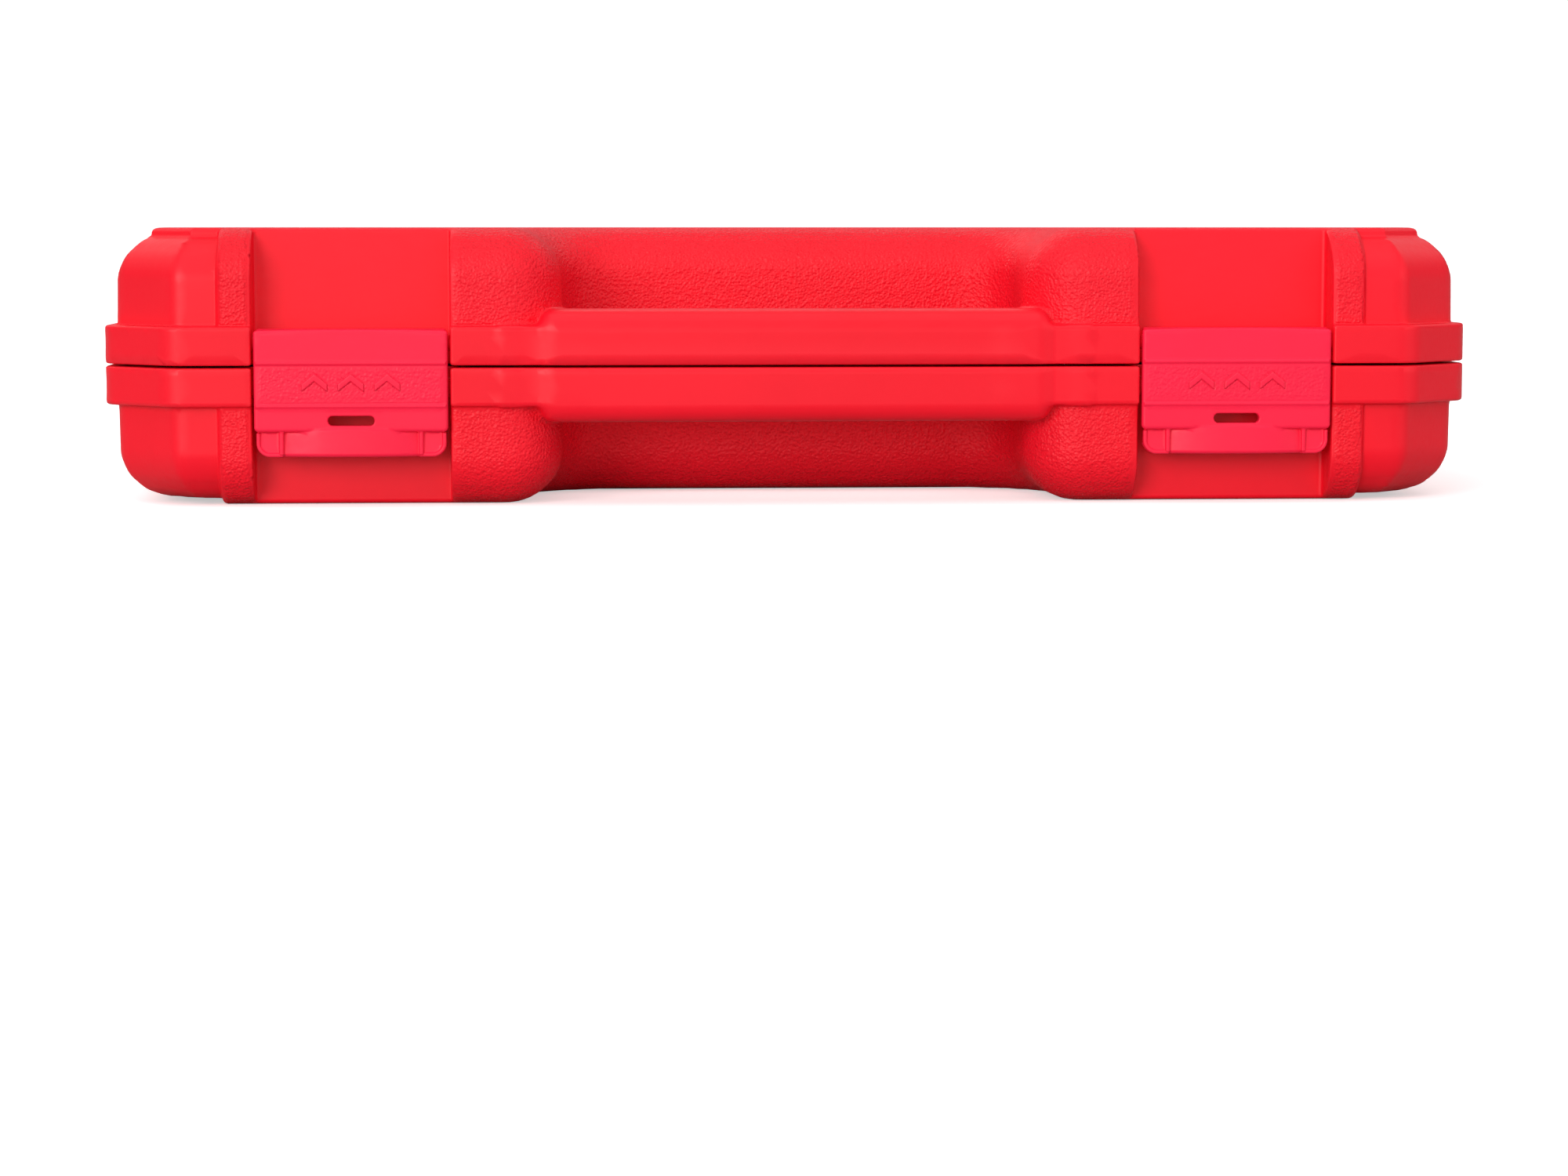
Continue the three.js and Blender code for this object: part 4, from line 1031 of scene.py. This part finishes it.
FINE = 1.0
HALVES = (
    ("lid_moulding", True, (0, -137, 31), (176, 137, 72), "case_lid", "lid_shell"),
    ("base_moulding", False, (0, -137, -2), (176, 137, 39), "case_base", "base_shell"),
)
for name, of_lid, low, high, body, node in HALVES:
    field = from_parting(case_half(of_lid), of_lid)
    grain = from_parting(case_grain(of_lid), of_lid)
    piece = mesh_of(name, field, low, high, 0.6 * FINE, 0.04, case_red, True, grain)
    stands_for(piece, body, "case_red", node)
low, high = (-170, -129, 2), (170, 126, 37)
bed = mesh_of("moulded_tool_bed", tool_bed, low, high, 0.75 * FINE, 0.04, lining_red)
BED_NODES = ("base_tool_bed", "plug_socket_tray", "deep_socket_tray", "socket_tray")
stands_for(bed, "case_base", "case_red", *BED_NODES)
low, high = (-170, -129, 33), (170, 126, 66)
liner = mesh_of("moulded_liner", lid_liner, low, high, 0.8 * FINE, 0.04, lining_red)
stands_for(liner, "case_lid", "case_red", "lid_liner")

for side, place in (("left", -BAY_X), ("right", BAY_X)):
    low, high = (place - 25, -137, 11), (place + 25, -124, 47)
    field, grain = at_rest(latch, place, 0), at_rest(latch_grain, place, 0)
    clip = mesh_of(f"{side}_clip", field, low, high, 0.24 * FINE, 0.01, latch_red, grain=grain)
    stands_for(clip, f"{side}_latch", "latch_red", f"latch_{side}")

for row_y, sizes in SHORT_ROWS:
    for i, size in enumerate(sizes):
        where = placed("Z", row_x(sizes, i, SHORT_PITCH), row_y, SHORT_SEAT)
        rings = socket_rings(size, SHORT_LENGTH)
        piece = ring_body(f"short_socket_{size}mm", rings, where, chrome, True)
        stands_for(piece, "case_base", "chrome", f"socket_{size}")
for i, size in enumerate(DEEP_SIZES):
    where = placed("-Y", row_x(DEEP_SIZES, i, DEEP_PITCH), DEEP_START, BED_TOP)
    rings = socket_rings(size, DEEP_LENGTH)
    piece = ring_body(f"long_socket_{size}mm", rings, where, chrome, True)
    stands_for(piece, "case_base", "chrome", f"deep_socket_{size}")

TURNED = (
    ("plug_socket", plug_rings(), PLUG, chrome, True, "spark_plug_socket"),
    ("plug_rubber", plug_grip_rings(), PLUG, rubber, True, "spark_plug_grip"),
    ("hex_key_6mm", bit_rings(6, KEY_6[2]), KEY_6, satin_steel, False, "hex_bit_socket_6"),
    ("hex_key_8mm", bit_rings(8, KEY_8[2]), KEY_8, satin_steel, False, "hex_bit_socket_8"),
    ("long_extension", extension_rings(LONG_BAR[2]), LONG_BAR, chrome, False, "extension_bar_150"),
    ("short_extension", extension_rings(SHORT_BAR[2]), SHORT_BAR, chrome, False, "extension_bar_75"),
    ("quarter_adapter", adapter_rings(ADAPTER[2]), ADAPTER, chrome, False, "drive_adapter"),
)
for name, rings, (x0, axis_y, *_), finish, through, node in TURNED:
    piece = ring_body(name, rings, placed("X", x0, axis_y, BED_TOP), finish, through)
    stands_for(piece, "case_base", SLOT_OF[finish], node)

selector = at_rest(ratchet_selector, SELECTOR_X, 0)
RATCHET_SOLIDS = (
    ("ratchet_forging", ratchet_body, (-20, -19, 23), (193, 19, 41), 0.42, chrome),
    ("ratchet_plate", ratchet_cover, (-17, -17, 34), (28, 17, 37), 0.2, satin_steel),
    ("direction_lever", selector, (9, -9, 26), (29, 9, 40), 0.2, satin_steel),
)
RATCHET_NODES = (
    ("case_base", "ratchet_body"),
    ("case_base", "ratchet_cover"),
    ("ratchet_lever", "ratchet_selector"),
)
for (name, field, low, high, step, finish), (body, node) in zip(RATCHET_SOLIDS, RATCHET_NODES):
    shift = np.array((RATCHET_X, RATCHET_Y, 0.0))
    field_here = at_rest(field, RATCHET_X, RATCHET_Y)
    piece = mesh_of(name, field_here, shift + low, shift + high, step * FINE, 0.01, finish)
    stands_for(piece, body, SLOT_OF[finish], node)

ratchet_axis = placed("Z", RATCHET_X, RATCHET_Y, 0)
ball_place = placed("Z", RATCHET_X, RATCHET_Y - 3.75, 17)
RATCHET_TURNED = (
    ("toothed_drive", gear_rings(), ratchet_axis, steel, True, "drive", "drive_gear"),
    ("quick_release", button_rings(), ratchet_axis, satin_steel, False, "button", "release_button"),
    ("locking_ball", ball_rings(1.6), ball_place, steel, False, "ball", "detent_ball"),
)
for name, rings, matrix, finish, through, body, node in RATCHET_TURNED:
    piece = ring_body(name, rings, matrix, finish, through)
    stands_for(piece, f"ratchet_{body}", SLOT_OF[finish], f"ratchet_{node}")
for i, side in enumerate((1, -1)):
    where = placed("Z", RATCHET_X + SCREW_X, RATCHET_Y + side * SCREW_Y, 0)
    piece = ring_body(f"plate_screw_{i + 1}", screw_rings(), where, black_steel)
    stands_for(piece, "case_base", "black_steel", f"ratchet_cover_screw_{i + 1}")

jx, jy, jz = JOINT_AT


def input_yoke(x, y, z):
    return yoke(-x, y, z, 9.2, False)


def output_yoke(x, y, z):
    return yoke(x, z, y, 8.6, True)


JOINT_SOLIDS = (
    ("joint_input_yoke", input_yoke, (-26, 5), satin_steel, "case_base", "socket_yoke"),
    ("joint_output_yoke", output_yoke, (-5, 30), satin_steel, "joint_drive_end", "drive_yoke"),
    ("joint_spider", joint_cross, (-10, 10), steel, "joint_cross", "cross"),
)
for name, field, (x0, x1), finish, body, node in JOINT_SOLIDS:
    low, high = (jx + x0, jy - 10, jz - 10), (jx + x1, jy + 10, jz + 10)
    piece = mesh_of(name, at_rest(field, *JOINT_AT), low, high, 0.26 * FINE, 0.01, finish)
    stands_for(piece, body, SLOT_OF[finish], f"universal_joint_{node}")

# These keep their CAD shape.
for node in ("hinge_pin_left", "hinge_pin_right", "ratchet_pawl"):
    for material_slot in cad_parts[node].material_slots:
        material_slot.material = steel


# ---------- floor, light and camera ----------
def hang(light, direction, place=(0, 0, 0)):
    """Puts a light in the scene, shining that way."""
    lamp = bpy.data.objects.new(light.name, light)
    scene.collection.objects.link(lamp)
    lamp.location = place
    lamp.rotation_euler = Vector(direction).to_track_quat("-Z", "Y").to_euler()
    return lamp


def sun(name, strength, angle, direction, glossy=True):
    light = bpy.data.lights.new(name, "SUN")
    light.energy = strength
    light.angle = math.radians(angle)
    hang(light, direction).visible_glossy = glossy


def camera_only(tree, seen, otherwise):
    """A shader that the camera sees, and another one that lights the object."""
    ray = add_node(tree, "ShaderNodeLightPath").outputs["Is Camera Ray"]
    return add_node(tree, "ShaderNodeMixShader", {0: ray, 1: otherwise, 2: seen}).outputs[0]


# The floor is seen white, as the backdrop is, and throws back only some of the light.
floor_finish = Finish("floor_white")
floor_finish.set("Base Color", (0.46, 0.45, 0.45, 1))
floor_finish.set("Roughness", 0.9)
floor_finish.set("Specular IOR Level", 0.1)
pale = floor_finish.node("ShaderNodeBsdfDiffuse", {"Color": (0.9, 0.9, 0.9, 1)}).outputs[0]
glow = floor_finish.node("ShaderNodeEmission", {"Color": (1, 1, 1, 1), "Strength": 0.5}).outputs[0]
seen = floor_finish.node("ShaderNodeAddShader", {0: pale, 1: glow}).outputs[0]
mixed = camera_only(floor_finish.tree, seen, floor_finish.surface.outputs[0])
feed(floor_finish.tree, floor_finish.tree.nodes["Material Output"].inputs["Surface"], mixed)
FAR = 6000  # half of the floor's side
corners = [(-FAR, -FAR, 0), (FAR, -FAR, 0), (FAR, FAR, 0), (-FAR, FAR, 0)]
floor = object_of("floor", corners, [(0, 1, 2, 3)], floor_finish.material)
floor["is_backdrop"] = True

world = bpy.data.worlds.new("studio")
world.use_nodes = True
scene.world = world
tree = world.node_tree
sky = tree.nodes["Background"]
sky.inputs["Color"].default_value = (1, 1, 1, 1)
sky.inputs["Strength"].default_value = 0.42
white = add_node(tree, "ShaderNodeBackground", {"Color": (1, 1, 1, 1), "Strength": 1.1})

# What shines in the steel, by height from straight down (0) to straight up (1), and how bright:
# softboxes overhead with darker bands of the room between them.
SOFTBOXES = ((0.0, 0.16), (0.46, 0.3), (0.5, 0.42), (0.6, 0.2), (0.68, 0.1))
SOFTBOXES += ((0.73, 0.95), (0.85, 1.1), (0.9, 0.35), (1.0, 0.6))
heading = add_node(tree, "ShaderNodeTexCoord").outputs["Generated"]
upward = add_node(tree, "ShaderNodeSeparateXYZ", {0: heading}).outputs["Z"]
height = add_node(tree, "ShaderNodeMapRange", {"From Min": -1.0, "Value": upward}).outputs[0]
ramp = add_node(tree, "ShaderNodeValToRGB", {0: height})
while len(ramp.color_ramp.elements) < len(SOFTBOXES):
    ramp.color_ramp.elements.new(0.5)
for element, (position, level) in zip(ramp.color_ramp.elements, SOFTBOXES):
    element.position = position
    element.color = (level, level, level, 1)
room = add_node(tree, "ShaderNodeBackground", {"Color": ramp.outputs[0]}).outputs[0]
glossy = add_node(tree, "ShaderNodeLightPath").outputs["Is Glossy Ray"]
shine = add_node(tree, "ShaderNodeMixShader", {0: glossy, 1: sky.outputs[0], 2: room})
mixed = camera_only(tree, white.outputs[0], shine.outputs[0])
feed(tree, tree.nodes["World Output"].inputs["Surface"], mixed)

sun("key", 1.4, 30.0, (0.48, 0.80, -0.25))
sun("top", 0.7, 60.0, (0.05, 0.35, -0.93))
sun("right", 0.45, 40.0, (-0.72, 0.60, -0.25))
sun("back", 1.5, 30.0, (0.35, -0.85, -0.34), False)

front = bpy.data.lights.new("front", "AREA")
front.shape = "RECTANGLE"
front.size, front.size_y = 1.6, 0.5
front.energy = 4.0
front_at = Vector((-0.2, -1.8, 0.2))
hang(front, Vector((0, 0, 0.03)) - front_at, front_at)

scene.view_settings.view_transform = "Standard"

lens = bpy.data.cameras.new("photo_camera")
lens.lens = 82.75
lens.sensor_width = 36.0
lens.clip_start = 0.01
camera = bpy.data.objects.new("photo_camera", lens)
scene.collection.objects.link(camera)
camera.location = (-0.06, -1.0345, 0.0696)
camera.rotation_euler = (math.radians(90 - 5.72), 0, math.radians(-3.6))
scene.camera = camera

sizes = {"cad": [list(map(float, corner)) for corner in cad_box]}
sizes["visual"] = [list(map(float, corner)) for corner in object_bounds()]
